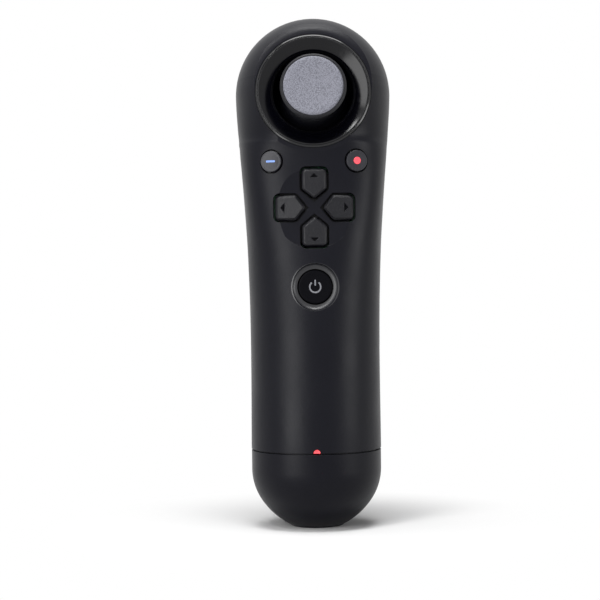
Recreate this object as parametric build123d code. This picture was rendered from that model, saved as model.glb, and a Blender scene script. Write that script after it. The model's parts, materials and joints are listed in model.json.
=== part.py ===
from build123d import *
import os
from math import asin, cos, degrees, radians, sin, sqrt, tan

os.makedirs("parts", exist_ok=True)

# A one-handed wand controller. It stands on its flat end at the origin, in millimetres:
# +Z runs along the wand to its round head, and the thumb stick faces -Y.

# Casing
LENGTH = 138.0
HEAD_R = 21.0
HEAD_Z = LENGTH - HEAD_R
WALL = 2.0
PART_Y = 1.0  # the plane where the front and rear shells meet
PART_GAP = 0.12
SEAM_Z = 20.7  # top of the end cap
SEAM_GAP = 0.4
SEAM_DEPTH = 0.8
BEYOND = 30.0  # far enough to pass out of the casing on any side
CROWN_STEP = 4.0  # the head is a true sphere from here up, above its centre

# Handle sections: height, half width, depth in front, depth behind, and how far out the
# front's corners reach, as a share of the box round them
ROUND = sqrt(0.5)  # that share on a true ellipse
HANDLE = [
    (SEAM_Z, 17.7, 17.7, 17.7, ROUND),
    (40.0, 17.6, 17.4, 17.5, 0.71),
    (58.0, 17.7, 17.1, 17.3, 0.718),
    (75.0, 18.2, 16.7, 17.4, 0.748),
    (86.0, 18.85, 16.3, 18.0, 0.778),
    (95.0, 19.5, 16.1, 18.8, 0.789),
    (101.0, 20.0, 16.3, 19.4, 0.77),
    (106.0, 20.4, 17.9, 20.0, 0.718),
    (111.0, 20.75, 20.0, 20.7, 0.71),
    (HEAD_Z, HEAD_R, HEAD_R, HEAD_R, ROUND),
]
SECTION_STEP = 3.2  # spacing of the lofted sections

# End cap: a small foot, then two arcs that meet smoothly and end upright
CAP_FOOT_R = 7.5
CAP_FOOT_H = 0.65
CAP_R = 17.65
CAP_SIDE_R = 15.4
CAP_SIDE_Z = 16.0  # where the side is upright
CAP_TURN = 33.9  # how far the upper arc turns, in degrees
CAP_BASE_R = 20.2
CAP_WALL = 2.25
CAP_FLOOR = 2.9
CAP_LIP_R = 15.2
CAP_LIP_TOP = 24.0
CAP_LIP_T = 1.3
CAP_BEAD_R = 15.75
CAP_BEAD_Z = 22.9
CAP_BEAD_HALF = 0.4
CAP_RIB_X = 6.7  # the ribs' middles, which hold the edges of the port's board
CAP_RIB_T = 1.4
CAP_RIB_TOP = 9.0
MOUTH = (8.3, 4.5, 0.8)  # the port's opening: width, depth and corner
NOTCH_HALF = 1.5  # opening in the lip for the indicator's window

# Stick face: a tilted plane through the ring's centre
FACE_Y = 14.2
FACE_Z = 116.7
FACE_TILT = 7.0
RING_R = 15.4
RING_EASE = 0.15  # flat left round the ring before the shoulder starts
RING_LEDGE = 2.4  # how deep the bezel's flange sits
RING_BORE = 14.1
COLLAR_R = 17.2
COLLAR_DEPTH = 4.4
SHOULDER_R = 4.5  # rounding of the head above the ring
SHOULDER_TURN = 50.0
BEZEL_R = RING_R - 0.1
BEZEL_TOP = 0.25
BEZEL_IN = 14.4  # inner edge of its flat rim
FUNNEL_R = 10.75  # where the shallow cone turns down into the throat
FUNNEL_SLOPE = 27.0
FUNNEL_ROUND = 0.8
THROAT_R = 10.2
THROAT_Z = -8.2

# Thumb stick, as heights above its pivot
PIVOT_DEPTH = 14.0
CLICK = 0.5
CAP_TOP = PIVOT_DEPTH + 5.7
STICK_R = 8.75
GRIP_R = 7.9
DOME_R = 11.5
DOME_WALL = 1.0
DOME_RIM = 4.4
NECK_R = 3.4
SHAFT_R = 1.6
PIN_R = 0.7
TRUNNION_R = 1.1
FIT = 0.08
YOKE_HALF = 3.4
ARCH_IN = 5.0
ARCH_OUT = 6.1
ARCH_HALF = 2.9
BOX_HALF = 7.4
BOX_WALL = 0.9
BOX_TOP = 5.2
BOX_FLOOR = -7.2
BOX_MOUTH = 5.0  # half width of the opening in its top
BOX_FLOOR_T = 0.6
BOX_LID_T = 0.8
SWEEP_R = 9.7  # everything under the dome stays inside this radius
STICK_BOARD_R = 15.8
STICK_BOARD_T = 1.2
POST_X = 14.0
POST_R = 1.8
POST_TOP = -3.0  # on the stick face's axis
PILOT_R = 0.7  # hole for a small screw's thread

# Keys on the front
KEY_Z = 85.7
DISH_R = 10.8
DISH_FLOOR = 15.25  # how far in front of the axis the bowl is deepest
DISH_CURVE = 65.0  # the bowl's radius along the wand
KEY_POINT = 2.3
KEY_SHOULDER = 4.9
KEY_END = 10.3
KEY_HALF = 3.3
KEY_GAP = 0.55
KEY_ROUND = 1.15
KEY_SHOULDER_ROUND = 0.9
KEY_RIM = 0.6
KEY_TOPS = [(0, 0, 16.3), (90, 9, 15.9), (180, 0, 16.6), (270, 9, 15.9)]  # turn, lean, height
ROCKER_R = 9.9
ROCKER_Z = (10.8, 11.8)
ROCKER_HUB = (2.6, 13.0)
BALL_R = 1.5
BALL_SEAT_R = 1.55
BALL_Z = 10.5
BUTTON_X = 11.3
BUTTON_Z = 98.0
BUTTON_Y = 15.0
BUTTON_R = 2.8
BUTTON_TOP = 0.5
BUTTON_FLANGE_R = 3.4
BUTTON_FLANGE = (-3.9, -3.2)
BUTTON_HOLE_R = 3.2
BUTTON_LEAN = 14.0
HOME_Z = 64.8
HOME_R = 4.45
HOME_TOP = 16.0
HOME_FLANGE_R = 5.5
HOME_FLANGE = (12.6, 13.4)
HOME_COVE = [(4.75, 15.5), (5.72, 15.88), (6.3, 17.05)]  # concave ring round the button
STEM_R = 1.6
STEM_END = -4.25
HOME_STEM_R = 2.4
HOME_STEM_END = 10.25
LENS_R = 1.0
LENS_OUT = 17.72

# Boards
BOARD_Y = -9.0  # front face of the main board
PAD_BASE = 0.5  # thickness of the rubber round each dome
BOARD_T = 1.2
BOARD_HALF = 12.0
BOARD_LOW = 34.0
BOARD_TOP = 103.0
PORT_Y = 1.95  # front face of the port's board
RESET_Z = 29.0
RESET_Y = PORT_Y + BOARD_T
RESET_HALF = 1.9
RESET_T = 1.8
RESET_HOLE_R = 0.8

# Screws: places across and along, the case's with the depth of their heads behind the axis
CASE_SCREWS = [(11.0, 72.0, 10.8), (-11.0, 72.0, 10.8), (10.4, 30.0, 10.6), (-10.4, 30.0, 10.6)]
BOARD_SCREWS = [(9.5, 54.0), (-9.5, 54.0), (0.0, 100.8)]
BRACKET_SCREWS = [(10.6, 106.0), (-10.6, 106.0)]
CASE_SCREW_R = 1.0
CASE_SCREW_HEAD = (1.9, 1.4)
CASE_SCREW_TIP = -5.5

# Rear keys
BUMPER_LEAN = 40.0
BUMPER_W = 14.4
BUMPER_H = 8.4
BUMPER_CORNER = 2.2
BUMPER_R = (17.6, HEAD_R + 0.45)  # its inside and outside, from the head's centre
BUMPER_FLANGE = (17.65, 18.7)
BUMPER_LIP = 0.9  # how far the flange reaches past the key
BUMPER_EDGE = 0.7
BUMPER_GAP = 0.25
TRIGGER_PIN = (15.0, 120.5)
TRIGGER_PIN_R = 1.0
TRIGGER_W = 15.0
TRIGGER_GAP = 0.4
TRIGGER_LOW = 98.2
TRIGGER_TOP = 124.3
TRIGGER_EDGE = 1.6
TRIGGER_WALL = 1.6
TRIGGER_HUB_R = 2.2
TRIGGER_BACK = [(19.5, 123.9), (21.5, 118.0), (21.9, 111.5), (23.6, 106.0), (27.4, 102.0)]
BRACKET_Y = 11.2
BRACKET_T = 1.2

LOW = (Align.CENTER, Align.CENTER, Align.MIN)
FACE = Plane(
    origin=(0, -FACE_Y, FACE_Z),
    x_dir=(1, 0, 0),
    z_dir=(0, -cos(radians(FACE_TILT)), sin(radians(FACE_TILT))),
)
PIVOT = FACE.offset(-PIVOT_DEPTH)
REAR = Plane(
    origin=(0, 0, HEAD_Z),
    x_dir=(1, 0, 0),
    z_dir=(0, cos(radians(BUMPER_LEAN)), sin(radians(BUMPER_LEAN))),
)


def drum(radius, low, high):
    """Cylinder on the local Z axis between two heights."""
    return Pos(0, 0, low) * Cylinder(radius, high - low, align=LOW)


def tube(outer, inner, low, high):
    """Ring on the local Z axis."""
    return drum(outer, low, high) - drum(inner, low - 1, high + 1)


def block(x, y, z):
    """Box between pairs of coordinates."""
    return Pos(x[0], y[0], z[0]) * Box(
        x[1] - x[0], y[1] - y[0], z[1] - z[0], align=(Align.MIN, Align.MIN, Align.MIN)
    )


def turned(line):
    """Solid turned about Z from a closed outline of radius and height."""
    return revolve(make_face(Plane.XZ * line), Axis.Z)


def turned_points(points):
    """Solid turned about Z from corner points of radius and height."""
    return turned(Polyline(*points, close=True))


def along_y(shape, x=0.0, z=0.0):
    """Turn a shape built up +Z so that it points out of the front, at y = 0."""
    return Pos(x, 0, z) * Rot(90, 0, 0) * shape


def along_x(shape):
    """Turn a shape built up +Z so that it points along +X."""
    return Rot(0, 90, 0) * shape


def sideways(shape):
    """Turn a shape built up +Z so that it points along +Y."""
    return Rot(-90, 0, 0) * shape


def handle_slopes(index):
    """How fast the handle's sizes change at one of its named sections."""
    if index in (0, len(HANDLE) - 1):
        return [0.0] * 4
    before, after = HANDLE[index - 1], HANDLE[index + 1]
    rise = after[0] - before[0]
    return [(high - low) / rise for low, high in zip(before[1:], after[1:])]


def handle_sizes(height):
    """Smooth sizes of the handle between its named sections."""
    index = max(i for i, row in enumerate(HANDLE[:-1]) if row[0] <= height)
    low, high = HANDLE[index], HANDLE[index + 1]
    rise = high[0] - low[0]
    t = (height - low[0]) / rise
    blend = t * t * (3 - 2 * t)
    leave, arrive = t * (1 - t) ** 2 * rise, t * t * (t - 1) * rise
    rows = zip(low[1:], high[1:], handle_slopes(index), handle_slopes(index + 1))
    return [a + (b - a) * blend + leave * out + arrive * come for a, b, out, come in rows]


def quarter(start, corner, end, share):
    """Conic arc inside a corner, which reaches a share of the way out to it."""
    return Bezier(start, corner, end, weights=[1, (share - 0.5) / (1 - share), 1])


def section(height, width, front, back, share):
    """Closed section of the wand in four arcs, with its own front and back."""
    face = Curve() + [
        quarter((0, -front), (width, -front), (width, 0), share),
        quarter((width, 0), (width, back), (0, back), ROUND),
        quarter((0, back), (-width, back), (-width, 0), ROUND),
        quarter((-width, 0), (-width, -front), (0, -front), share),
    ]
    return Pos(0, 0, height) * make_face(face)


def wand(inset=0.0):
    """Handle and head as one closed form, shrunk by inset."""
    radius = HEAD_R - inset
    count = round((HEAD_Z - SEAM_Z) / SECTION_STEP)
    heights = [SEAM_Z + (HEAD_Z - SEAM_Z) * i / count for i in range(count)]
    sections = []
    for height in heights:
        width, front, back, share = handle_sizes(height)
        sections.append(section(height, width - inset, front - inset, back - inset, share))
    for rise in (0, CROWN_STEP / 2, CROWN_STEP):
        here = sqrt(radius**2 - rise**2)
        sections.append(section(HEAD_Z + rise, here, here, here, ROUND))
    crown = Sphere(radius, arc_size1=degrees(asin(CROWN_STEP / radius)), align=LOW)
    return loft(sections) + Pos(0, 0, HEAD_Z + CROWN_STEP) * crown


OUTER = wand()
INNER = wand(WALL)
HEAD_ROOM = Pos(0, 0, HEAD_Z) * Sphere(HEAD_R - WALL - 0.2)


def at_face(shape):
    """Place a shape built up +Z on the stick face."""
    return FACE * shape


def at_pivot(shape):
    """Place a shape built up +Z on the stick's pivot."""
    return PIVOT * shape


# Casing


def face_cutter():
    """What is taken off the head in front of the stick face, with its rounded shoulder."""
    front = block((-BEYOND, BEYOND), (-BEYOND, BEYOND), (0, BEYOND))
    start, turn = RING_R + RING_EASE, radians(SHOULDER_TURN)
    reach, drop = start + SHOULDER_R * sin(turn), -SHOULDER_R * (1 - cos(turn))
    side = RadiusArc((start, 0), (reach, drop), SHOULDER_R)
    rest = Polyline((reach, drop), (reach, BEYOND), (0, BEYOND), (0, 0), (start, 0))
    upper_half = block((-BEYOND, BEYOND), (0, BEYOND), (2 * drop, BEYOND))
    return at_face(front + (turned(Curve() + [side, rest]) & upper_half))


def key_outline(gap=0.0):
    """Five-sided key that points at the centre of the dish, outer end along +Y."""
    half, end = KEY_HALF + gap, KEY_END + gap
    point, shoulder = KEY_POINT - 1.4 * gap, KEY_SHOULDER - 0.4 * gap
    outline = Polyline((0, point), (half, shoulder), (half, end), (-half, end), (-half, shoulder), close=True)
    face = make_face(outline)
    face = fillet(face.vertices().group_by(Axis.Y)[-1], KEY_ROUND + gap)
    wide = [corner for corner in face.vertices() if abs(corner.Y - shoulder) < 0.01]
    return fillet(wide, KEY_SHOULDER_ROUND + gap)


def button_plane(side):
    """Plane on the skin under a face button, leaning outwards."""
    lean = radians(BUTTON_LEAN)
    return Plane(
        origin=(side * BUTTON_X, -BUTTON_Y, BUTTON_Z),
        x_dir=(cos(lean), side * sin(lean), 0),
        z_dir=(side * sin(lean), -cos(lean), 0),
    )


def screw_boss(x, z, radius):
    """Upright post behind the front wall, up to the parting plane."""
    return along_y(drum(radius, -PART_Y, BEYOND), x, z) & INNER


def casing():
    """Front and rear shells with their openings, bosses and collar."""
    skin = OUTER - INNER
    skin -= tube(HEAD_R, HANDLE[0][1] - SEAM_DEPTH, SEAM_Z - 0.1, SEAM_Z + SEAM_GAP)
    groove = CAP_BEAD_HALF + 0.1
    skin -= tube(CAP_BEAD_R + 0.1, CAP_LIP_R - 1, CAP_BEAD_Z - groove, CAP_BEAD_Z + groove)
    front = split(skin, bisect_by=Plane((0, PART_Y, 0), z_dir=(0, -1, 0)))
    rear = split(skin, bisect_by=Plane((0, PART_Y + PART_GAP, 0), z_dir=(0, 1, 0)))
    return front_shell(front), rear_shell(rear)


def key_dish():
    """Shallow round bowl round the direction keys."""
    trough = Pos(0, 0, DISH_FLOOR + DISH_CURVE) * along_x(drum(DISH_CURVE, -DISH_R, DISH_R))
    return along_y(trough & drum(DISH_R, 0, BEYOND), 0, KEY_Z)


def home_cove():
    """Hole for the home button, with the concave ring round it."""
    inner, outer = HOME_COVE[0], HOME_COVE[-1]
    arc = ThreePointArc(*HOME_COVE)
    low, high = HOME_FLANGE[0], BEYOND
    rest = Polyline(outer, (outer[0], high), (0, high), (0, low), (inner[0], low), inner)
    return along_y(turned(Curve() + [arc, rest]), 0, HOME_Z)


def front_shell(front):
    """Front half of the casing, with its collar, posts and every opening in the front."""
    collar = at_face(drum(COLLAR_R, -COLLAR_DEPTH, 2)) & OUTER
    seat = BOX_FLOOR - PIVOT_DEPTH
    posts = [Pos(side * POST_X, 0, 0) * drum(POST_R, seat, POST_TOP) for side in (-1, 1)]
    stands = at_face(Part() + posts - drum(RING_BORE - 0.5, -8, 0))
    front = front + collar + stands
    for x, z, _ in CASE_SCREWS:
        front += screw_boss(x, z, 2.4)
    for x, z in BOARD_SCREWS:
        front += along_y(drum(POST_R, -BOARD_Y, BEYOND), x, z) & INNER

    cuts = [face_cutter(), at_face(drum(RING_R, -RING_LEDGE, 3)), key_dish(), home_cove()]
    cuts.append(at_face(drum(RING_BORE, -COLLAR_DEPTH - 1, 0)))
    for turn in range(0, 360, 90):
        hole = extrude(Rot(0, 0, turn) * key_outline(KEY_GAP), BEYOND)
        cuts.append(along_y(hole, 0, KEY_Z))
    for side in (-1, 1):
        cuts.append(button_plane(side) * drum(BUTTON_HOLE_R, -3.6, 5))
        pilot = drum(PILOT_R, seat - 1, seat + 7.2)
        cuts.append(at_face(Pos(side * POST_X, 0, 0) * pilot))
    cuts.append(along_y(drum(LENS_R + 0.05, 12, BEYOND), 0, SEAM_Z + SEAM_GAP))
    for x, z, _ in CASE_SCREWS:
        cuts.append(along_y(drum(CASE_SCREW_R, -PART_Y - 1, 7), x, z))
    for x, z in BOARD_SCREWS:
        cuts.append(along_y(drum(PILOT_R, -BOARD_Y - 1, 12), x, z))
    return front - cuts


def bumper_form(grow, low, high):
    """Rounded block on the rear key's axis, between two radii from the head's centre."""
    face = RectangleRounded(BUMPER_W + 2 * grow, BUMPER_H + 2 * grow, BUMPER_CORNER + grow)
    shell = Sphere(high) - Sphere(low)
    return REAR * (extrude(face, BEYOND) & shell)


def rear_shell(rear):
    """Rear half of the casing, with its screw posts and the openings for both rear keys."""
    for x, z, _ in CASE_SCREWS:
        rear += sideways_at(drum(3.0, PART_Y, BEYOND), x, z) & INNER
    for x, z in BRACKET_SCREWS:
        rear += sideways_at(drum(2.2, BRACKET_Y + BRACKET_T, BEYOND), x, z) & INNER
    guide = tube(2.0, RESET_HOLE_R, RESET_Y + 2 * RESET_T, BEYOND)
    rear += sideways_at(guide, 0, RESET_Z) & INNER
    half = TRIGGER_W / 2 + TRIGGER_GAP
    cuts = [block((-half, half), (12, BEYOND), (TRIGGER_LOW, TRIGGER_TOP))]
    cuts.append(bumper_form(BUMPER_GAP, BUMPER_R[0] - 0.6, BEYOND))
    cuts.append(sideways_at(drum(RESET_HOLE_R, 10, BEYOND), 0, RESET_Z))
    head_r = CASE_SCREW_HEAD[0] + 0.3
    for x, z, head in CASE_SCREWS:
        cuts.append(sideways_at(drum(CASE_SCREW_R + 0.15, 0, head) + drum(head_r, head, BEYOND), x, z))
    for x, z in BRACKET_SCREWS:
        cuts.append(sideways_at(drum(0.8, 10, 15.2), x, z))
    return rear - cuts


def sideways_at(shape, x, z):
    """Place a shape built up +Z so that it points to the rear."""
    return Pos(x, 0, z) * sideways(shape)


def cap_arcs(inset=0.0):
    """The two arcs of the end cap's side, from the foot up."""
    turn = radians(CAP_TURN)
    upper = (CAP_R - CAP_SIDE_R, CAP_SIDE_Z)
    shift = CAP_BASE_R - CAP_SIDE_R
    lower = (upper[0] - shift * cos(turn), upper[1] + shift * sin(turn))
    floor = CAP_FLOOR if inset else CAP_FOOT_H
    start = -degrees(asin((lower[1] - floor) / (CAP_BASE_R - inset)))
    base = CenterArc(lower, CAP_BASE_R - inset, start, -CAP_TURN - start)
    side = CenterArc(upper, CAP_SIDE_R - inset, -CAP_TURN, CAP_TURN)
    return base, side


def end_cap():
    """Hollow rounded end with a flat foot, a lip for the shells and the port's opening."""
    base, side = cap_arcs()
    foot = Polyline((0, 0), (CAP_FOOT_R - 0.6, 0), (CAP_FOOT_R - 0.2, 0.3), base @ 0)
    top = Polyline(side @ 1, (CAP_R, SEAM_Z), (0, SEAM_Z), (0, 0))
    body = turned(Curve() + [foot, base, side, top])
    base, side = cap_arcs(CAP_WALL)
    open_top = Polyline(side @ 1, (CAP_R - CAP_WALL, SEAM_Z + 1), (0, SEAM_Z + 1), (0, CAP_FLOOR), base @ 0)
    body -= turned(Curve() + [base, side, open_top])
    body += cap_lip()
    for x in (-CAP_RIB_X, CAP_RIB_X):
        body += block((x - CAP_RIB_T / 2, x + CAP_RIB_T / 2), (-4, 4), (CAP_FLOOR - 0.4, CAP_RIB_TOP))
    mouth = extrude(RectangleRounded(*MOUTH), CAP_FLOOR + 2)
    notch = block((-NOTCH_HALF, NOTCH_HALF), (-17, -12), (SEAM_Z - 0.2, BEYOND))
    slot = block((-CAP_RIB_X, CAP_RIB_X), (PORT_Y, PORT_Y + BOARD_T), (CAP_FLOOR + 0.3, CAP_RIB_TOP + 0.5))
    return body - [mouth, notch, slot]


def cap_lip():
    """Lip that the shells slide over, with a bead that snaps into their groove."""
    inside, root_r, root_z = CAP_LIP_R - CAP_LIP_T, CAP_LIP_R + 0.4, SEAM_Z - 1.6
    low, high = CAP_BEAD_Z - CAP_BEAD_HALF, CAP_BEAD_Z + CAP_BEAD_HALF
    root = [(inside, root_z), (root_r, root_z), (root_r, SEAM_Z), (CAP_LIP_R, SEAM_Z)]
    bead = [(CAP_LIP_R, low), (CAP_BEAD_R, CAP_BEAD_Z), (CAP_LIP_R, high)]
    return turned_points(root + bead + [(CAP_LIP_R, CAP_LIP_TOP), (inside, CAP_LIP_TOP)])


def stick_bezel():
    """Glossy ring round the stick: a shallow cone that turns down into a throat."""
    slope = (BEZEL_IN - FUNNEL_R) * tan(radians(FUNNEL_SLOPE))
    turn_z = BEZEL_TOP - 0.15 - slope
    outline = [(BEZEL_R, -RING_LEDGE), (BEZEL_R, 0), (BEZEL_R - 0.25, BEZEL_TOP), (BEZEL_IN, BEZEL_TOP)]
    outline += [(BEZEL_IN - 0.1, BEZEL_TOP - 0.15), (FUNNEL_R, turn_z), (THROAT_R, THROAT_Z)]
    outline += [(THROAT_R + 0.5, THROAT_Z - 0.7), (THROAT_R + 1.3, THROAT_Z - 0.7)]
    outline += [(FUNNEL_R + 1.3, turn_z - 2.2), (13.95, -3.0), (13.95, -RING_LEDGE)]
    face = make_face(Polyline(*outline, close=True))
    corner = min(face.vertices(), key=lambda point: abs(point.X - FUNNEL_R) + abs(point.Y - turn_z))
    face = fillet(corner, FUNNEL_ROUND)
    return at_face(revolve(Plane.XZ * face, Axis.Z))


def indicator_lens():
    """Half-round window at the seam, with the light pipe behind it."""
    rod = drum(LENS_R, -BOARD_Y + 1.0, LENS_OUT)
    upper = block((-2, 2), (0, 2), (0, 20))
    return along_y(rod & upper, 0, SEAM_Z + SEAM_GAP)


def case_screws():
    """Four screws that draw the rear shell onto the front one."""
    parts = []
    for x, z, head in CASE_SCREWS:
        head_r, head_t = CASE_SCREW_HEAD
        screw = drum(CASE_SCREW_R, CASE_SCREW_TIP, head) + drum(head_r, head, head + head_t)
        screw -= drum(0.6, head + 0.6, head + 2)
        parts.append(sideways_at(screw, x, z))
    return Compound(children=parts)


# Thumb stick


def stick_cap():
    """Cap, neck and the domed skirt that fills the funnel."""
    skirt_r = sqrt(DOME_R**2 - DOME_RIM**2)
    inner_r = sqrt((DOME_R - DOME_WALL) ** 2 - DOME_RIM**2)
    dome_top = sqrt(DOME_R**2 - NECK_R**2)
    inside_top = DOME_R - DOME_WALL
    outside = RadiusArc((skirt_r, DOME_RIM), (NECK_R, dome_top), -DOME_R)
    low = CAP_TOP - 2.7
    cap = Polyline((NECK_R, dome_top), (NECK_R, low - 0.2), (7.4, low), (STICK_R - 0.25, low + 0.9))
    side = [(STICK_R - 0.25, low + 0.9), (STICK_R, low + 1.3), (STICK_R, CAP_TOP - 1.0)]
    edge = Polyline(*side, (8.3, CAP_TOP - 0.35), (GRIP_R, CAP_TOP - 0.35))
    top = Polyline((GRIP_R, CAP_TOP - 0.35), (GRIP_R, CAP_TOP - 1.3), (0, CAP_TOP - 1.3))
    axis = Polyline((0, CAP_TOP - 1.3), (0, inside_top))
    inside = RadiusArc((0, inside_top), (inner_r, DOME_RIM), DOME_R - DOME_WALL)
    rim = Polyline((inner_r, DOME_RIM), (skirt_r, DOME_RIM))
    body = turned(Curve() + [outside, cap, edge, top, axis, inside, rim])
    return at_pivot(body - drum(SHAFT_R, 5, CAP_TOP - 2.4))


def stick_grip():
    """Textured disc let into the cap, dished in the middle."""
    low, high = CAP_TOP - 1.3, CAP_TOP
    dish = ThreePointArc((0, high - 0.35), (3.6, high - 0.25), (6.6, high))
    rest = Polyline((6.6, high), (GRIP_R - 0.3, high - 0.05), (GRIP_R, high - 0.3), (GRIP_R, low), (0, low))
    return at_pivot(turned(Curve() + [dish, rest, Polyline((0, low), (0, high - 0.35))]))


def stick_shaft():
    """Round shaft with an upright slot for the pivot pin."""
    shaft = drum(SHAFT_R, -2.6, CAP_TOP - 2.4)
    shaft += drum(1.1, -3.0, -2.5)
    slot = block((-PIN_R, PIN_R), (-3, 3), (0, CLICK)) + sideways(drum(PIN_R, -3, 3))
    slot += Pos(0, 0, CLICK) * sideways(drum(PIN_R, -3, 3))
    return at_pivot(shaft - slot)


def stick_pin():
    """Pin through the lower yoke and the shaft's slot."""
    return at_pivot(sideways(drum(PIN_R, -3.0, 3.0)))


def lower_yoke():
    """Yoke that turns across the wand and carries the pin."""
    body = block((-YOKE_HALF, YOKE_HALF), (-3, 3), (-3.6, 2))
    body += along_x(drum(TRUNNION_R, -BOX_HALF, BOX_HALF))
    body -= block((-2.7, 2.7), (-SHAFT_R - 0.1, SHAFT_R + 0.1), (-4, 3))
    return at_pivot(body - sideways(drum(PIN_R + FIT / 2, -4, 4)))


def upper_yoke():
    """Arched yoke that turns along the wand, with a slot for the shaft."""
    arch = along_x(tube(ARCH_OUT, ARCH_IN, -ARCH_HALF, ARCH_HALF))
    arch &= block((-5, 5), (-8, 8), (0, 8))
    for side in (-1, 1):
        arch += side_pin(side)
    slot = block((-SHAFT_R - 0.1, SHAFT_R + 0.1), (-3.4, 3.4), (4, 8))
    return at_pivot(arch - slot)


def side_pin(side):
    """Foot and trunnion at one end of the arched yoke."""
    trunnion = drum(TRUNNION_R, ARCH_IN, BOX_HALF)
    foot = block((-TRUNNION_R, TRUNNION_R), (-0.6, 0.6), (ARCH_IN, ARCH_OUT))
    return Rot(-90 * side, 0, 0) * (trunnion + foot)


def under_dome(shape):
    """Keep a piece of the stick module clear of the dome's sweep."""
    room = Sphere(SWEEP_R) + drum(BEYOND, BOX_FLOOR - 1, 0)
    return shape & room


def stick_housing():
    """Square box that carries both yokes."""
    half, room = BOX_HALF, BOX_HALF - BOX_WALL
    body = block((-half, half), (-half, half), (BOX_FLOOR, BOX_TOP))
    body -= block((-room, room), (-room, room), (BOX_FLOOR + BOX_FLOOR_T, BOX_TOP - BOX_LID_T))
    body -= block((-BOX_MOUTH, BOX_MOUTH), (-BOX_MOUTH, BOX_MOUTH), (0, BOX_TOP + 1))
    bore = drum(TRUNNION_R + FIT, -half - 1, half + 1)
    body -= [along_x(bore), sideways(bore)]
    return at_pivot(under_dome(body))


def sensor(turn):
    """Rotary sensor outside one wall of the housing."""
    body = drum(4.2, BOX_HALF, BOX_HALF + 2.1) + block((-3.4, 3.4), (-4.2, 4.2), (BOX_HALF, BOX_HALF + 1.5))
    legs = [block((4.2, 6.2), (y - 0.3, y + 0.3), (BOX_HALF + 0.6, BOX_HALF + 0.9)) for y in (-2.5, 0, 2.5)]
    foot = block((3.0, -BOX_FLOOR), (-3.0, 3.0), (BOX_HALF, BOX_HALF + 0.5))
    return at_pivot(under_dome(Rot(0, 0, turn) * along_x(body + legs + foot)))


def click_switch():
    """Push switch on the housing's floor, under the shaft."""
    base = BOX_FLOOR + BOX_FLOOR_T
    body = drum(2.3, base, base + 2.2) + drum(0.8, base, -3.2 - CLICK)
    return at_pivot(body)


def stick_spring():
    """Coil that pushes the yoke upright."""
    base, top = BOX_FLOOR + BOX_FLOOR_T, -3.6
    wire, turns = 0.25, 3
    height = top - base - 2 * wire
    path = Helix(pitch=height / turns, height=height, radius=3.0)
    section = Plane(origin=path @ 0, z_dir=path % 0) * Circle(wire)
    return at_pivot(Pos(0, 0, base + wire) * sweep(section, path=path))


def stick_board():
    """Round board that the stick's housing stands on."""
    low = BOX_FLOOR - PIVOT_DEPTH - STICK_BOARD_T
    board = Pos(0, 1, 0) * drum(STICK_BOARD_R, low, low + STICK_BOARD_T)
    board &= block((-20, 20), (-20, 10.5), (-40, 0))
    holes = [Pos(side * POST_X, 0, 0) * drum(0.75, low - 1, low + 3) for side in (-1, 1)]
    return at_face(board - holes)


def stick_board_screws():
    """Two screws that hold the stick's board on the front shell's posts."""
    low = BOX_FLOOR - PIVOT_DEPTH - STICK_BOARD_T
    screw = drum(0.7, low, low + 5) + drum(1.3, low - 0.9, low)
    return Compound(children=[at_face(Pos(side * POST_X, 0, 0) * screw) for side in (-1, 1)])


# Front keys


def dpad():
    """Four keys on one rocking disc, with a round seat for its pivot."""
    low, high = ROCKER_Z
    hub_r, hub_top = ROCKER_HUB
    base = drum(ROCKER_R, low, high) + drum(hub_r, low, hub_top)
    keys = Part()
    for turn, lean, height in KEY_TOPS:
        key = extrude(Pos(0, 0, low + 0.2) * key_outline(), 9)
        middle = (KEY_POINT + KEY_END) / 2
        top = Plane(origin=(0, middle, height), z_dir=(0, sin(radians(lean)), cos(radians(lean))))
        key = split(key, bisect_by=top, keep=Keep.BOTTOM)
        rim = key.faces().sort_by(Axis.Z)[-1].edges()
        keys += Rot(0, 0, turn) * fillet(rim, KEY_RIM)
    body = base + keys - Pos(0, 0, BALL_Z) * Sphere(BALL_SEAT_R)
    return along_y(body, 0, KEY_Z)


def dpad_pivot():
    """Ball that the direction keys rock on."""
    return along_y(Pos(0, 0, BALL_Z) * Sphere(BALL_R), 0, KEY_Z)


def dpad_pad():
    """Rubber mat with a dome under each direction key."""
    mat = tube(9.2, 2.6, -BOARD_Y, -BOARD_Y + PAD_BASE)
    domes = [Rot(0, 0, turn) * Pos(0, 7, 0) * dome(2.0, 1.3, 1.8) for turn in range(0, 360, 90)]
    return along_y(mat + domes, 0, KEY_Z)


def dome(foot, top, height):
    """Hollow rubber dome that stands on the main board's front."""
    start = -BOARD_Y
    outline = [(foot, start), (foot, start + PAD_BASE), (top, start + height), (0, start + height)]
    hollow = [(0, start + height - 0.7), (top - 0.5, start + height - 0.7), (foot - 0.6, start)]
    return turned_points(outline + hollow)


def face_button(side):
    """Round button with a flange that keeps it in its hole and a stem to its pad."""
    low, high = BUTTON_FLANGE
    body = drum(BUTTON_R, low, BUTTON_TOP)
    body = fillet(body.edges().sort_by(Axis.Z)[-1], 0.5)
    body += drum(BUTTON_FLANGE_R, low, high) + drum(STEM_R, STEM_END, high)
    return button_plane(side) * body


def button_pad(side):
    """Rubber dome between a face button and the board."""
    place = side * (BUTTON_X - 4.9 * sin(radians(BUTTON_LEAN)))
    body = dome(2.3, 1.5, 1.3) + tube(BUTTON_FLANGE_R, 2.2, -BOARD_Y, -BOARD_Y + PAD_BASE)
    return along_y(body, place, BUTTON_Z)


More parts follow.
